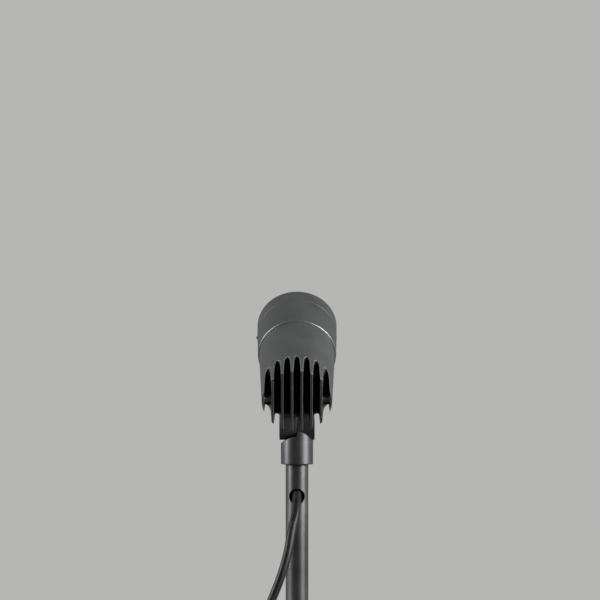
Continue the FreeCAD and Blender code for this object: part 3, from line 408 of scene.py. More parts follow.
# the lamp's own axes: X across, Y along the axis from the rear face to the rim, Z up
head = {"tilt": 28.5, "hingeStation": 48.0, "hingeDrop": 49.0, "hingeHeight": 341.9}
headPlace = (Matrix.Translation((0, 0, head["hingeHeight"] * mm))
    @ Matrix.Rotation(math.radians(head["tilt"]), 4, "X")
    @ Matrix.Translation((0, -head["hingeStation"] * mm, head["hingeDrop"] * mm)))
headInverse = headPlace.inverted()


def lampAxes(tree, place):  # Object coordinates turned into the lamp's own axes
    return addNode(tree, "Mapping", {"Vector": place, "Location": headInverse.translation,
        "Rotation": headInverse.to_euler()})


# where coats lighten and darken: edges lightened by how far the rounded normal turns, as wear and as a
# painted highlight kept to the upper parts; nooks darkened with painted shade by how little is open
wearAndPaintedLight = {"edgeFrom": 0.995, "edgeTo": 0.9, "shadedEdgesBelow": -34.0, "rubbed": -28.0, "nook": 0.15, "open": 0.75,
    "nookShadeColour": "#0b0b0b", "thinMetal": 0.9, "thinBump": 0.08}


def coatedMetal(name, look):
    material, tree, place = newMaterial(name)
    softEdge = addNode(tree, "Bevel", {"Radius": look["edge"] * mm}, samples=6)
    flat = addNode(tree, "NewGeometry")
    facing = addNode(tree, "VectorMath", {0: softEdge, 1: flat.outputs["Normal"]}, operation="DOT_PRODUCT")
    lamp = addNode(tree, "SeparateXYZ", {0: lampAxes(tree, place)})
    # edges are lightened as wear and as a painted highlight; the highlight is strong on the upper parts,
    # where light falls, and weak on the lower parts, which are in shade
    rubbed = addNode(tree, "MapRange", {"Value": lamp.outputs["Z"], "From Min": wearAndPaintedLight["shadedEdgesBelow"] * mm,
        "From Max": wearAndPaintedLight["rubbed"] * mm, "To Min": look["lowEdgeLightening"], "To Max": look["edgeLightening"]})
    lightenedEdges = addNode(tree, "MapRange", {"Value": facing.outputs["Value"], "From Min": wearAndPaintedLight["edgeFrom"],
        "From Max": wearAndPaintedLight["edgeTo"], "To Max": rubbed})
    flakes = addNode(tree, "TexVoronoi", {"Vector": place, "Scale": noiseScale(look["flake"])})
    flakeTone = addNode(tree, "SeparateColor", {0: flakes.outputs["Color"]})
    cloud = addNode(tree, "TexNoise", {"Vector": place, "Scale": noiseScale(look["cloud"]), "Detail": 4.0})
    tone = addNode(tree, "Mix", {0: look["flakeShare"], 2: cloud, 3: flakeTone})
    toneShare = addNode(tree, "MapRange", {"Value": tone, "From Min": 0.2, "From Max": 0.8, "To Max": 1.0})
    body = addNode(tree, "Mix", {0: toneShare, 6: look["dark"], 7: look["light"]}, data_type="RGBA")
    edged = addNode(tree, "Mix", {0: lightenedEdges, 6: body.outputs[2], 7: look["edgeWearAndHighlightColour"]}, data_type="RGBA")
    # painted shade: the coat is darkened towards near black where little is open, in slots, between fins and
    # under parts
    exposure = addNode(tree, "AmbientOcclusion", {"Distance": look["nookShadeReach"] * mm}, samples=6)
    paintedNookShade = addNode(tree, "MapRange", {"Value": exposure.outputs["AO"], "From Min": wearAndPaintedLight["nook"],
        "From Max": wearAndPaintedLight["open"], "To Min": look["nookShade"], "To Max": 0.0})
    colour = addNode(tree, "Mix", {0: paintedNookShade, 6: edged.outputs[2], 7: wearAndPaintedLight["nookShadeColour"]}, data_type="RGBA")
    grain = addNode(tree, "TexNoise", {"Vector": place, "Scale": noiseScale(look["grain"]), "Detail": 3.0,
        "Roughness": 0.55})
    rough = addNode(tree, "MapRange", {"Value": cloud, "From Min": 0.3, "From Max": 0.7,
        "To Min": look["roughness"] - 0.04, "To Max": look["roughness"] + 0.05})
    bump = addNode(tree, "Bump", {"Height": grain, "Strength": look["bump"],
        "Distance": look["grainDepth"] * mm, "Normal": softEdge})
    shader = addNode(tree, "BsdfPrincipled", {"Base Color": colour.outputs[2], "Metallic": look["metallic"],
        "Roughness": rough, "Normal": bump})
    addNode(tree, "OutputMaterial", {"Surface": shader})
    if "turnedPitch" in look:  # the lathe's fine rings still show through the thin coat
        upright = addNode(tree, "SeparateXYZ", {0: place})
        stripe = addNode(tree, "CombineXYZ", {"X": upright.outputs["Z"]})
        rings = addNode(tree, "TexNoise", {"Vector": stripe, "Detail": 3.0,
            "Scale": noiseScale(look["turnedPitch"])})
        ridges = addNode(tree, "Bump", {"Height": rings, "Strength": look["turnedBump"],
            "Distance": look["turnedDepth"] * mm, "Normal": bump})
        ringTone = addNode(tree, "MapRange", {"Value": rings, "From Min": 0.3, "From Max": 0.7,
            "To Min": 1 - look["turnedTone"], "To Max": 1 + look["turnedTone"]})
        toned = addNode(tree, "VectorMath", {0: colour.outputs[2], "Scale": ringTone}, operation="SCALE")
        tree.links.new(ridges.outputs["Normal"], shader.inputs["Normal"])
        tree.links.new(toned.outputs[0], shader.inputs["Base Color"])
    if "smoothBand" in look:  # the coat runs thin and smooth over a turned edge, which catches the light; its colour is also paled there as a painted highlight
        start, end = look["smoothBand"]
        middle = addNode(tree, "Math", {0: lamp.outputs["Y"], 1: (start + end) / 2 * mm},
            operation="SUBTRACT")
        away = addNode(tree, "Math", {0: middle}, operation="ABSOLUTE")
        band = addNode(tree, "MapRange", {"Value": away, "From Min": (end - start) / 2 * mm,
            "From Max": (end - start) / 1.6 * mm, "To Min": 1.0, "To Max": 0.0})
        for owner, socket, usual, thin in ((shader, "Roughness", rough, look["bandRoughness"]),
                (shader, "Metallic", look["metallic"], wearAndPaintedLight["thinMetal"]),
                (bump, "Strength", look["bump"], wearAndPaintedLight["thinBump"])):
            mixed = addNode(tree, "Mix", {0: band, 2: usual, 3: thin})
            tree.links.new(mixed.outputs[0], owner.inputs[socket])
        # painted highlight: the band's colour is paled towards the light edge colour
        paintedSeamHighlight = addNode(tree, "Mix", {0: band, 6: colour.outputs[2], 7: look["edgeWearAndHighlightColour"]}, data_type="RGBA")
        tree.links.new(paintedSeamHighlight.outputs[2], shader.inputs["Base Color"])
    return material


# polyester powder coat with metal flake on die-cast aluminium: dull graphite with a sandy grain
# real flake is 0.1 mm and real grain 0.4 mm, both drawn coarser to show
castLook = {"dark": "#5b5d5c", "light": "#727473", "edgeWearAndHighlightColour": "#c4c6c6", "flake": 0.35, "flakeShare": 0.35,
    "cloud": 22.0, "grain": 1.3, "grainDepth": 0.10, "bump": 0.55, "roughness": 0.5, "metallic": 0.45,
    "edge": 1.1, "edgeLightening": 0.8, "lowEdgeLightening": 0.05, "nookShadeReach": 9.0, "nookShade": 0.92}
castCoat = coatedMetal("graphitePowderCoat", castLook)
# the same coat on the turned barrel: a little darker, with a bright line where it thins over the seam's edge,
# glossier there and paled as a painted highlight
barrelCoat = coatedMetal("barrelPowderCoat", {**castLook, "dark": "#575958", "light": "#6e706f",
    "edgeWearAndHighlightColour": "#a8aaac", "grainDepth": 0.08, "bump": 0.5, "edge": 0.5, "edgeLightening": 0.35, "lowEdgeLightening": 0.35,
    "nookShadeReach": 2.0, "nookShade": 0.3, "smoothBand": (89.9, 91.2), "bandRoughness": 0.42})
# the same coat on turned tube and collar: smoother, so it shines more and shows the two side lights
# real tool rings are 0.2 mm apart, drawn coarser to show
turnedCoat = coatedMetal("satinPowderCoat", {"dark": "#727273", "light": "#8f8f91", "edgeWearAndHighlightColour": "#a6a7a9",
    "flake": 0.3, "flakeShare": 0.3, "cloud": 30.0, "grain": 1.1, "grainDepth": 0.05, "bump": 0.15,
    "roughness": 0.36, "metallic": 0.92, "edge": 0.4, "edgeLightening": 0.2, "lowEdgeLightening": 0.2, "nookShadeReach": 3.0,
    "nookShade": 0.85, "turnedPitch": 0.9, "turnedBump": 0.25, "turnedDepth": 0.05, "turnedTone": 0.14})
print("coats done")

# stainless steel, cold-headed and passivated: satin grey, fine marks that blur what it mirrors
# real marks are 0.1 mm, drawn coarser to show
steel = {"dark": "#8f9090", "light": "#b9bab9", "marks": 0.8, "smooth": 0.42, "dull": 0.58, "edge": 0.15}
screwSteel, tree, place = newMaterial("turnedStainlessSteel")
marks = addNode(tree, "TexNoise", {"Vector": place, "Scale": noiseScale(steel["marks"]), "Detail": 4.0})
rough = addNode(tree, "MapRange", {"Value": marks, "From Min": 0.3, "From Max": 0.7,
    "To Min": steel["smooth"], "To Max": steel["dull"]})
colour = addNode(tree, "Mix", {0: marks, 6: steel["dark"], 7: steel["light"]}, data_type="RGBA")
softEdge = addNode(tree, "Bevel", {"Radius": steel["edge"] * mm}, samples=4)
shader = addNode(tree, "BsdfPrincipled", {"Base Color": colour.outputs[2], "Metallic": 1.0,
    "Roughness": rough, "Normal": softEdge})
addNode(tree, "OutputMaterial", {"Surface": shader})

# toughened soda-lime glass, float polished: clear with a breath of green, a thin film of dust
glass = {"tint": "#f4faf7", "dustCloud": 16.0, "dust": 0.08, "ior": 1.52}
clearGlass, tree, place = newMaterial("toughenedGlass")
dust = addNode(tree, "TexNoise", {"Vector": place, "Scale": noiseScale(glass["dustCloud"]), "Detail": 6.0})
film = addNode(tree, "MapRange", {"Value": dust, "From Min": 0.45, "From Max": 0.8, "To Min": 0.0,
    "To Max": glass["dust"]})
shader = addNode(tree, "BsdfPrincipled", {"Base Color": glass["tint"], "Roughness": film, "IOR": glass["ior"],
    "Transmission Weight": 1.0})
addNode(tree, "OutputMaterial", {"Surface": shader})

# silicone rubber, moulded: milky grey, soft gloss, light goes a little way in
gasket = {"dark": "#9c9c98", "light": "#b6b6b2", "cloud": 5.0, "ior": 1.41, "milky": 0.1, "depth": 2.0}
silicone, tree, place = newMaterial("mouldedSilicone")
cloud = addNode(tree, "TexNoise", {"Vector": place, "Scale": noiseScale(gasket["cloud"]), "Detail": 3.0})
colour = addNode(tree, "Mix", {0: cloud, 6: gasket["dark"], 7: gasket["light"]}, data_type="RGBA")
rough = addNode(tree, "MapRange", {"Value": cloud, "To Min": 0.4, "To Max": 0.6})
shader = addNode(tree, "BsdfPrincipled", {"Base Color": colour.outputs[2], "Roughness": rough,
    "IOR": gasket["ior"], "Subsurface Weight": gasket["milky"], "Subsurface Scale": gasket["depth"] * mm})
addNode(tree, "OutputMaterial", {"Surface": shader})


def turnedMetal(name, light, dark, pitch, axes):  # fine rings round an axis, as a lathe tool leaves them
    material, tree, place = newMaterial(name)
    if axes == "lamp":
        place = lampAxes(tree, place)
    parts = addNode(tree, "SeparateXYZ", {0: place})
    across, lengthwise = ("Z", "Y") if axes == "lamp" else ("Y", "Z")
    flat = addNode(tree, "CombineXYZ", {"X": parts.outputs["X"], "Y": parts.outputs[across]})
    reach = addNode(tree, "VectorMath", {0: flat}, operation="LENGTH")
    along = addNode(tree, "Math", {0: reach.outputs["Value"], 1: parts.outputs[lengthwise]}, operation="ADD")
    stripe = addNode(tree, "CombineXYZ", {"X": along})
    rings = addNode(tree, "TexNoise", {"Vector": stripe, "Scale": noiseScale(pitch), "Detail": 3.0})
    rough = addNode(tree, "MapRange", {"Value": rings, "From Min": 0.3, "From Max": 0.7, "To Min": 0.26,
        "To Max": 0.44})
    colour = addNode(tree, "Mix", {0: rings, 6: dark, 7: light}, data_type="RGBA")
    bump = addNode(tree, "Bump", {"Height": rings, "Strength": 0.35, "Distance": 0.03 * mm})
    shader = addNode(tree, "BsdfPrincipled", {"Base Color": colour.outputs[2], "Metallic": 1.0,
        "Roughness": rough, "Normal": bump})
    addNode(tree, "OutputMaterial", {"Surface": shader})
    return material


# bare aluminium, turned: pale grey with fine rings; brass and nickel-plated brass turned the same way
# real rings are 0.1 mm apart, drawn coarser to show
turnedAluminium = turnedMetal("turnedAluminium", "#d3d5d7", "#b0b3b6", 0.5, "lamp")
turnedBrass = turnedMetal("turnedBrass", "#d9b972", "#b08d4c", 0.4, "upright")
nickelPlate = turnedMetal("nickelPlatedBrass", "#d2cdc2", "#b3aea4", 0.6, "upright")


def mouldedPlastic(name, look):  # a sparked or polished mould's grain, with a soft cloud of tone
    material, tree, place = newMaterial(name)
    flow = addNode(tree, "Mapping", {"Vector": place, "Scale": look["flow"]})
    cloud = addNode(tree, "TexNoise", {"Vector": flow, "Scale": noiseScale(look["cloud"]), "Detail": 5.0})
    grain = addNode(tree, "TexNoise", {"Vector": place, "Scale": noiseScale(look["grain"]), "Detail": 3.0})
    softEdge = addNode(tree, "Bevel", {"Radius": look["edge"] * mm}, samples=4)
    flat = addNode(tree, "NewGeometry")
    facing = addNode(tree, "VectorMath", {0: softEdge, 1: flat.outputs["Normal"]}, operation="DOT_PRODUCT")
    lightenedEdges = addNode(tree, "MapRange", {"Value": facing.outputs["Value"], "From Min": wearAndPaintedLight["edgeFrom"],
        "From Max": wearAndPaintedLight["edgeTo"], "To Max": look["edgeLightening"]})
    body = addNode(tree, "Mix", {0: cloud, 6: look["dark"], 7: look["light"]}, data_type="RGBA")
    colour = addNode(tree, "Mix", {0: lightenedEdges, 6: body.outputs[2], 7: look["scuffed"]}, data_type="RGBA")
    rough = addNode(tree, "MapRange", {"Value": cloud, "From Min": 0.3, "From Max": 0.7,
        "To Min": look["roughness"] - 0.06, "To Max": look["roughness"] + 0.08})
    bump = addNode(tree, "Bump", {"Height": grain, "Strength": 0.5, "Distance": look["grainDepth"] * mm,
        "Normal": softEdge})
    shader = addNode(tree, "BsdfPrincipled", {"Base Color": colour.outputs[2], "Roughness": rough,
        "IOR": look["ior"], "Normal": bump})
    addNode(tree, "OutputMaterial", {"Surface": shader})
    return material


# for each of these plastics the real grain is 0.1 to 0.3 mm, drawn coarser to show
# glass-filled polyamide, moulded: near black, flow streaks along the part, edges scuffed grey by soil
spikeNylon = mouldedPlastic("glassFilledNylon", {"dark": "#1e1e1f", "light": "#2f2f30", "scuffed": "#4a4a49",
    "cloud": 9.0, "flow": (1, 1, 0.18), "grain": 1.2, "grainDepth": 0.06, "edge": 0.5, "edgeLightening": 0.6,
    "roughness": 0.52, "ior": 1.53})
# heat-proof white polyamide, moulded: clean and slightly warm
whiteNylon = mouldedPlastic("whiteNylon", {"dark": "#dcdad3", "light": "#eceae4", "scuffed": "#f4f3ef",
    "cloud": 12.0, "flow": (1, 1, 1), "grain": 0.8, "grainDepth": 0.03, "edge": 0.3, "edgeLightening": 0.3,
    "roughness": 0.42, "ior": 1.53})
# polycarbonate driver case, moulded: pale cool grey with a fine sparked grain
casePolycarbonate = mouldedPlastic("driverCasePolycarbonate", {"dark": "#bcbec0", "light": "#cfd1d3",
    "scuffed": "#e0e2e3", "cloud": 15.0, "flow": (1, 1, 1), "grain": 1.0, "grainDepth": 0.05, "edge": 0.4,
    "edgeLightening": 0.3, "roughness": 0.5, "ior": 1.58})
# polyamide terminal block, moulded and polished: cream, shinier than the case
terminalNylon = mouldedPlastic("terminalNylon", {"dark": "#d6d2c2", "light": "#e2dfd1", "scuffed": "#eceadf",
    "cloud": 10.0, "flow": (1, 1, 1), "grain": 0.8, "grainDepth": 0.02, "edge": 0.3, "edgeLightening": 0.3,
    "roughness": 0.3, "ior": 1.53})
# heat-conducting silicone pad, cast sheet: blue grey and dull
thermalSheet = mouldedPlastic("thermalPadSheet", {"dark": "#8f98a6", "light": "#a2aab6", "scuffed": "#aab2bd",
    "cloud": 3.0, "flow": (1, 1, 1), "grain": 0.6, "grainDepth": 0.03, "edge": 0.1, "edgeLightening": 0.1,
    "roughness": 0.75, "ior": 1.41})
# silicone sleeve, extruded: black, dull
leadSleeve = mouldedPlastic("siliconeSleeve", {"dark": "#1f1f20", "light": "#2c2c2d", "scuffed": "#383838",
    "cloud": 4.0, "flow": (1, 1, 1), "grain": 0.7, "grainDepth": 0.03, "edge": 0.2, "edgeLightening": 0.2,
    "roughness": 0.6, "ior": 1.41})

# zinc-plated sheet steel, blue passivated: metal with faint crystal patches
zinc = {"dark": "#a9adb1", "light": "#c3c6c8", "spangle": 3.0}
zincSheet, tree, place = newMaterial("zincPlatedSheet")
spangle = addNode(tree, "TexVoronoi", {"Vector": place, "Scale": noiseScale(zinc["spangle"])})
patch = addNode(tree, "SeparateColor", {0: spangle.outputs["Color"]})
colour = addNode(tree, "Mix", {0: patch, 6: zinc["dark"], 7: zinc["light"]}, data_type="RGBA")
rough = addNode(tree, "MapRange", {"Value": patch.outputs[1], "To Min": 0.28, "To Max": 0.42})
shader = addNode(tree, "BsdfPrincipled", {"Base Color": colour.outputs[2], "Metallic": 1.0,
    "Roughness": rough})
addNode(tree, "OutputMaterial", {"Surface": shader})

# chip-on-board LED: white ceramic with a round pool of yellow phosphor gel, lit and brightest in the middle
led = {"ceramic": "#e9e8e4", "gel": "#f2cf5e", "dieGel": "#e6b640", "light": "#ffe9c2", "poolEdge": 7.3,
    "poolRadius": 7.6, "core": 1.0, "coreGlow": 1.5, "rimGlow": 0.55, "diePitch": 1.3}
ledFace, tree, place = newMaterial("phosphorOnCeramic")
parts = addNode(tree, "SeparateXYZ", {0: lampAxes(tree, place)})
flat = addNode(tree, "CombineXYZ", {"X": parts.outputs["X"], "Y": parts.outputs["Z"]})
reach = addNode(tree, "VectorMath", {0: flat}, operation="LENGTH")
inside = addNode(tree, "MapRange", {"Value": reach.outputs["Value"], "From Min": led["poolEdge"] * mm,
    "From Max": led["poolRadius"] * mm, "To Min": 1.0, "To Max": 0.0})
dies = addNode(tree, "TexVoronoi", {"Vector": flat, "Scale": noiseScale(led["diePitch"]), "Randomness": 0.15})
gel = addNode(tree, "Mix", {0: dies, 6: led["gel"], 7: led["dieGel"]}, data_type="RGBA")
colour = addNode(tree, "Mix", {0: inside, 6: led["ceramic"], 7: gel.outputs[2]}, data_type="RGBA")
fade = addNode(tree, "MapRange", {"Value": reach.outputs["Value"], "From Min": led["core"] * mm,
    "From Max": led["poolRadius"] * mm, "To Min": led["coreGlow"], "To Max": led["rimGlow"]})
glow = addNode(tree, "Math", {0: inside, 1: fade}, operation="MULTIPLY")
shader = addNode(tree, "BsdfPrincipled", {"Base Color": colour.outputs[2], "Roughness": 0.35,
    "Emission Color": led["light"], "Emission Strength": glow})
addNode(tree, "OutputMaterial", {"Surface": shader})
print("inside finishes done")

# anodised aluminium, spun, pressed into facets and peened: mirror bright, small dimples flash in each facet
bowl = {"rearStation": 96.6, "flangeRear": 118.5, "flangeFront": 119.7, "rearRadius": 9.15,
    "frontRadius": 32.0, "flangeRadius": 35.4, "wall": 1.1, "facetsRound": 36, "facetRows": 9,
    "dark": "#d4d6d8", "light": "#e6e7e8", "haze": 6.0, "dimple": 3.0, "dimpleDepth": 0.9}
brightAluminium, tree, place = newMaterial("brightAnodisedAluminium")
haze = addNode(tree, "TexNoise", {"Vector": place, "Scale": noiseScale(bowl["haze"]), "Detail": 3.0})
rough = addNode(tree, "MapRange", {"Value": haze, "From Min": 0.3, "From Max": 0.7, "To Min": 0.1,
    "To Max": 0.18})
colour = addNode(tree, "Mix", {0: haze, 6: bowl["dark"], 7: bowl["light"]}, data_type="RGBA")
peened = addNode(tree, "TexVoronoi", {"Vector": place, "Scale": noiseScale(bowl["dimple"]),
    "Smoothness": 0.6}, feature="SMOOTH_F1")
dimples = addNode(tree, "Bump", {"Height": peened, "Strength": 1.0, "Distance": bowl["dimpleDepth"] * mm})
shader = addNode(tree, "BsdfPrincipled", {"Base Color": colour.outputs[2], "Metallic": 1.0,
    "Roughness": rough, "Normal": dimples})
addNode(tree, "OutputMaterial", {"Surface": shader})


def facetTree():  # a grid rolled into a bowl, every second row turned by half a facet
    tree = newGeometryTree("faceted bowl", {"Facets Round": "Int", "Facet Rows": "Int",
        "Rear Radius": "Float", "Front Radius": "Float", "Rear Station": "Float", "Depth": "Float",
        "Material": "Material"})
    entry = addNode(tree, "NodeGroupInput")
    columns = addNode(tree, "Math", {0: entry.outputs["Facets Round"], 1: 1.0}, operation="ADD")
    rows = addNode(tree, "Math", {0: entry.outputs["Facet Rows"], 1: 1.0}, operation="ADD")
    grid = addNode(tree, "GeometryNodeMeshGrid", {"Size X": 1.0, "Size Y": 1.0, "Vertices X": columns,
        "Vertices Y": rows})
    position = addNode(tree, "GeometryNodeInputPosition")
    parts = addNode(tree, "SeparateXYZ", {0: position})
    share = addNode(tree, "Math", {0: parts.outputs["Y"], 1: 0.5}, operation="ADD")
    row = addNode(tree, "Math", {0: share, 1: entry.outputs["Facet Rows"]}, operation="MULTIPLY")
    whole = addNode(tree, "Math", {0: row}, operation="ROUND")
    odd = addNode(tree, "Math", {0: whole, 1: 2.0}, operation="MODULO")
    half = addNode(tree, "Math", {0: odd, 1: 0.5}, operation="MULTIPLY")
    turn = addNode(tree, "Math", {0: half, 1: entry.outputs["Facets Round"]}, operation="DIVIDE")
    around = addNode(tree, "Math", {0: parts.outputs["X"], 1: turn}, operation="ADD")
    angle = addNode(tree, "Math", {0: around, 1: 2 * math.pi}, operation="MULTIPLY")
    rearSquare = addNode(tree, "Math", {0: entry.outputs["Rear Radius"], 1: 2.0}, operation="POWER")
    frontSquare = addNode(tree, "Math", {0: entry.outputs["Front Radius"], 1: 2.0}, operation="POWER")
    square = addNode(tree, "MapRange", {"Value": share, "To Min": rearSquare, "To Max": frontSquare})
    radius = addNode(tree, "Math", {0: square}, operation="SQRT")
    sine = addNode(tree, "Math", {0: angle}, operation="SINE")
    cosine = addNode(tree, "Math", {0: angle}, operation="COSINE")
    across = addNode(tree, "Math", {0: radius, 1: cosine}, operation="MULTIPLY")
    up = addNode(tree, "Math", {0: radius, 1: sine}, operation="MULTIPLY")
    forward = addNode(tree, "Math", {0: share, 1: entry.outputs["Depth"]}, operation="MULTIPLY")
    station = addNode(tree, "Math", {0: forward, 1: entry.outputs["Rear Station"]}, operation="ADD")
    placeOnBowl = addNode(tree, "CombineXYZ", {"X": across, "Y": station, "Z": up})
    rolled = addNode(tree, "GeometryNodeSetPosition", {"Geometry": grid, "Position": placeOnBowl})
    closed = addNode(tree, "GeometryNodeMergeByDistance", {"Geometry": rolled, "Distance": 0.02 * mm})
    real = addNode(tree, "GeometryNodeRealizeInstances", {0: closed})
    coloured = addNode(tree, "GeometryNodeSetMaterial", {"Geometry": real,
        "Material": entry.outputs["Material"]})
    addNode(tree, "NodeGroupOutput", {"Geometry": coloured})
    return tree


facetBowl = newPiece("facetedReflector", bpy.data.meshes.new("facetedReflector"))
bakeTree(facetBowl, facetTree(), {"Facets Round": bowl["facetsRound"], "Facet Rows": bowl["facetRows"],
    "Rear Radius": bowl["rearRadius"] * mm, "Front Radius": bowl["frontRadius"] * mm,
    "Rear Station": bowl["rearStation"] * mm, "Depth": (bowl["flangeRear"] - bowl["rearStation"]) * mm,
    "Material": brightAluminium})
if facetBowl.data.materials[:] != [brightAluminium]:
    facetBowl.data.materials.clear()
    facetBowl.data.materials.append(brightAluminium)
work = bmesh.new()
work.from_mesh(facetBowl.data)
rimLevel, flangeLevel = (bowl["flangeRear"] - 0.01) * mm, (bowl["flangeFront"] - bowl["wall"] / 2) * mm
rim = [edge for edge in work.edges if edge.is_boundary and edge.verts[0].co.y > rimLevel]
for reach in (bowl["frontRadius"], bowl["flangeRadius"]):
    made = bmesh.ops.extrude_edge_only(work, edges=rim)["geom"]
    rim = [part for part in made if isinstance(part, bmesh.types.BMEdge)]
    for vertex in (part for part in made if isinstance(part, bmesh.types.BMVert)):
        across = Vector((vertex.co.x, 0, vertex.co.z)).normalized() * reach * mm
        vertex.co = (across.x, flangeLevel, across.z)
bmesh.ops.recalc_face_normals(work, faces=work.faces)
middles = {face: face.calc_center_median() for face in work.faces}  # extruding leaves no fixed face order
work.faces.sort(key=lambda face: middles[face].y + math.atan2(middles[face].z, middles[face].x) * 0.1 * mm)
work.transform(headPlace)
work.to_mesh(facetBowl.data)
work.free()
smoothFaces(facetBowl.data, False)
wall = facetBowl.modifiers.new("wall", "SOLIDIFY")
wall.thickness = bowl["wall"] * mm
wall.offset = 0
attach(facetBowl, "head")
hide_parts("reflector")
print("reflector faceted")

# every CAD node takes its slot's finish
finishOf = {"head_coat": castCoat, "pole_coat": turnedCoat, "stainless": screwSteel,
    "clear_glass": clearGlass, "silicone": silicone, "bright_aluminium": brightAluminium,
    "bare_aluminium": turnedAluminium, "thermal_silicone": thermalSheet, "led_phosphor": ledFace,
    "white_plastic": whiteNylon, "driver_case": casePolycarbonate, "zinc_steel": zincSheet,
    "terminal_plastic": terminalNylon, "brass": turnedBrass, "lead_sleeve": leadSleeve,
    "black_nylon": spikeNylon, "cable_rubber": jacketMaterial, "plug_rubber": mouldedMaterial,
    "nickelled_brass": nickelPlate, "strap_fabric": strapMaterial}
turnedCoats = {"knuckle_base": turnedCoat, "fixed_ear_cap": turnedCoat, "front_barrel": barrelCoat,
    "glare_ring": barrelCoat}  # turned, so smoother than a casting
for part in frame["record"]["subparts"]:
    mesh = nodes[part["node"]].data
    mesh.materials.clear()
    mesh.materials.append(turnedCoats.get(part["node"], finishOf[part["material_slot"]]))
print("finishes on", len(nodes), "nodes")

# studio: a pale floor under the spike, a clear film at ground level with painted contact shade, two side
# lights
studio = {"background": "#b6b6b5", "dimSide": 0.03, "brightSide": 0.55, "above": 0.13, "leftLift": 0.22,
    "dimMirrored": 0.07, "brightMirrored": 0.55, "floorColour": "#d8d8d5", "floorBounce": "#363635",
    "floorMirrored": "#4a4a49", "floorLevel": -0.222, "floorRadius": 14.0, "fadeFrom": 0.45, "fadeTo": 1.7,
    "sheetRadius": 0.26, "sheetLevel": -0.0002, "sheetFade": 0.8, "shadeReach": 0.03, "shade": 0.5,
    "shadeColour": "#1a1a1a", "covered": 0.25, "bare": 0.97, "aim": (0, 0, 0.38),
    "lights": {"left": ((-1.95, -0.35, 1.0), 0.9, 1.2, 26.0), "right": ((1.8, -0.8, 1.05), 1.3, 1.2, 46.0)}}


def backdropRays(tree, direction):  # which rays see the backdrop, how bright; metal mirrors a dim room
    ray = addNode(tree, "LightPath")
    direct = addNode(tree, "Math", {0: ray.outputs["Is Camera Ray"], 1: ray.outputs["Is Glossy Ray"]},
        operation="MAXIMUM")
    seen = addNode(tree, "Math", {0: direct, 1: ray.outputs["Is Transmission Ray"]}, operation="MAXIMUM")
    towards = addNode(tree, "SeparateXYZ", {0: direction})
    mirrored = addNode(tree, "MapRange", {"Value": towards.outputs["Y"], "From Min": -0.3, "From Max": 0.7,
        "To Min": studio["dimMirrored"], "To Max": studio["brightMirrored"]}, interpolation_type="SMOOTHSTEP")
    strength = addNode(tree, "Mix", {0: ray.outputs["Is Glossy Ray"], 2: 1.0, 3: mirrored})
    return ray, seen, towards, strength


world = bpy.data.worlds.new("paleRoom")
bpy.context.scene.world = world
world.use_nodes = True
tree = world.node_tree
tree.nodes.clear()
ray, seen, direction, strength = backdropRays(tree, addNode(tree, "TexCoord").outputs["Generated"])
shown = addNode(tree, "Background", {"Color": studio["background"], "Strength": strength})
# the wall in front is lit, the room behind is not
level = addNode(tree, "MapRange", {"Value": direction.outputs["Y"], "From Min": -0.3, "From Max": 0.9,
    "To Min": studio["dimSide"], "To Max": studio["brightSide"]}, interpolation_type="SMOOTHSTEP")
above = addNode(tree, "MapRange", {"Value": direction.outputs["Z"], "From Min": 0.2, "From Max": 1.0,
    "To Min": 0.0, "To Max": studio["above"]})
beside = addNode(tree, "MapRange", {"Value": direction.outputs["X"], "From Min": -1.0, "From Max": 0.0,
    "To Min": studio["leftLift"], "To Max": 0.0})
frontAndTop = addNode(tree, "Math", {0: level, 1: above}, operation="ADD")
roomLevel = addNode(tree, "Math", {0: frontAndTop, 1: beside}, operation="ADD")
lit = addNode(tree, "Background", {"Color": (1, 1, 1, 1), "Strength": roomLevel})
either = addNode(tree, "MixShader", {0: seen, 1: lit, 2: shown})
addNode(tree, "OutputWorld", {"Surface": either})


def roundSheet(name, radius, level, material):
    work = bmesh.new()
    bmesh.ops.create_circle(work, cap_ends=True, radius=radius, segments=96)
    bmesh.ops.translate(work, verts=work.verts, vec=(0, 0, level))
    mesh = bpy.data.meshes.new(name)
    work.to_mesh(mesh)
    work.free()
    newPiece(name, mesh, material)


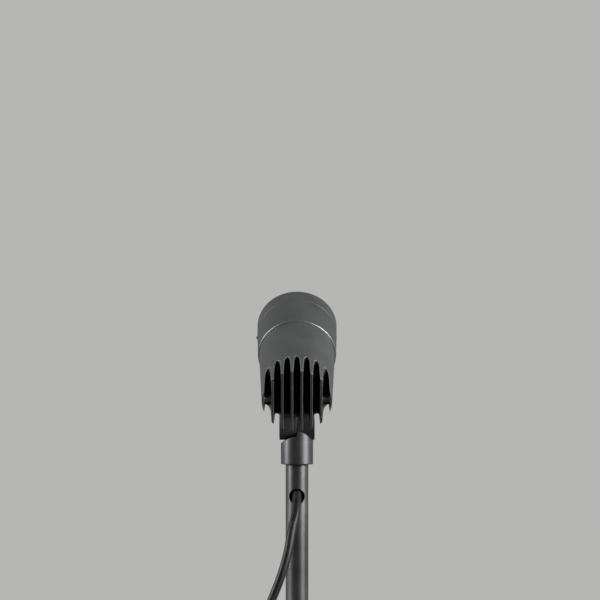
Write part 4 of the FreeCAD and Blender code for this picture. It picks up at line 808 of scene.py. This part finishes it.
floorMaterial, tree, place = newMaterial("paleFloor")
reach = addNode(tree, "VectorMath", {0: place}, operation="LENGTH")
far = addNode(tree, "MapRange", {"Value": reach.outputs["Value"], "From Min": studio["fadeFrom"],
    "From Max": studio["fadeTo"]}, interpolation_type="SMOOTHSTEP")
ray, seen, towards, strength = backdropRays(tree, addNode(tree, "VectorMath", {0: place},
    operation="NORMALIZE"))
blend = addNode(tree, "Math", {0: far, 1: seen}, operation="MULTIPLY")
bounce = addNode(tree, "Mix", {0: ray.outputs["Is Glossy Ray"], 6: studio["floorBounce"],
    7: studio["floorMirrored"]}, data_type="RGBA")
straight = addNode(tree, "Math", {0: ray.outputs["Is Camera Ray"], 1: ray.outputs["Is Transmission Ray"]},
    operation="MAXIMUM")
shade = addNode(tree, "Mix", {0: straight, 6: bounce.outputs[2], 7: studio["floorColour"]}, data_type="RGBA")
matt = addNode(tree, "BsdfDiffuse", {"Color": shade.outputs[2]})
wall = addNode(tree, "Emission", {"Color": studio["background"], "Strength": strength})
either = addNode(tree, "MixShader", {0: blend, 1: matt, 2: wall})
addNode(tree, "OutputMaterial", {"Surface": either})
roundSheet("floor", studio["floorRadius"], studio["floorLevel"], floorMaterial)

sheetMaterial, tree, place = newMaterial("contactShade")  # only darkens close to what lies on it
reach = addNode(tree, "VectorMath", {0: place}, operation="LENGTH")
exposure = addNode(tree, "AmbientOcclusion", {"Distance": studio["shadeReach"]}, samples=8)
cover = addNode(tree, "MapRange", {"Value": exposure.outputs["AO"], "From Min": studio["covered"],
    "From Max": studio["bare"], "To Min": studio["shade"], "To Max": 0.0})
rim = addNode(tree, "MapRange", {"Value": reach.outputs["Value"], "To Min": 1.0, "To Max": 0.0,
    "From Min": studio["sheetRadius"] * studio["sheetFade"], "From Max": studio["sheetRadius"]})
faded = addNode(tree, "Math", {0: cover, 1: rim}, operation="MULTIPLY")
matt = addNode(tree, "BsdfDiffuse", {"Color": studio["shadeColour"]})
clear = addNode(tree, "BsdfTransparent")
mixed = addNode(tree, "MixShader", {0: faded, 1: clear, 2: matt})
addNode(tree, "OutputMaterial", {"Surface": mixed})
roundSheet("contactShadeSheet", studio["sheetRadius"], studio["sheetLevel"], sheetMaterial)

for name, (place, width, height, power) in studio["lights"].items():
    light = bpy.data.lights.new(name + "Softbox", "AREA")
    light.shape = "RECTANGLE"
    light.size, light.size_y = width, height
    light.energy = power
    lamp = bpy.data.objects.new(name + "Softbox", light)
    lamp.location = place
    lamp.rotation_euler = (Vector(studio["aim"]) - Vector(place)).to_track_quat("-Z", "Y").to_euler()
    bpy.context.scene.collection.objects.link(lamp)
bpy.context.scene.view_settings.view_transform = "Standard"
print("studio lit")
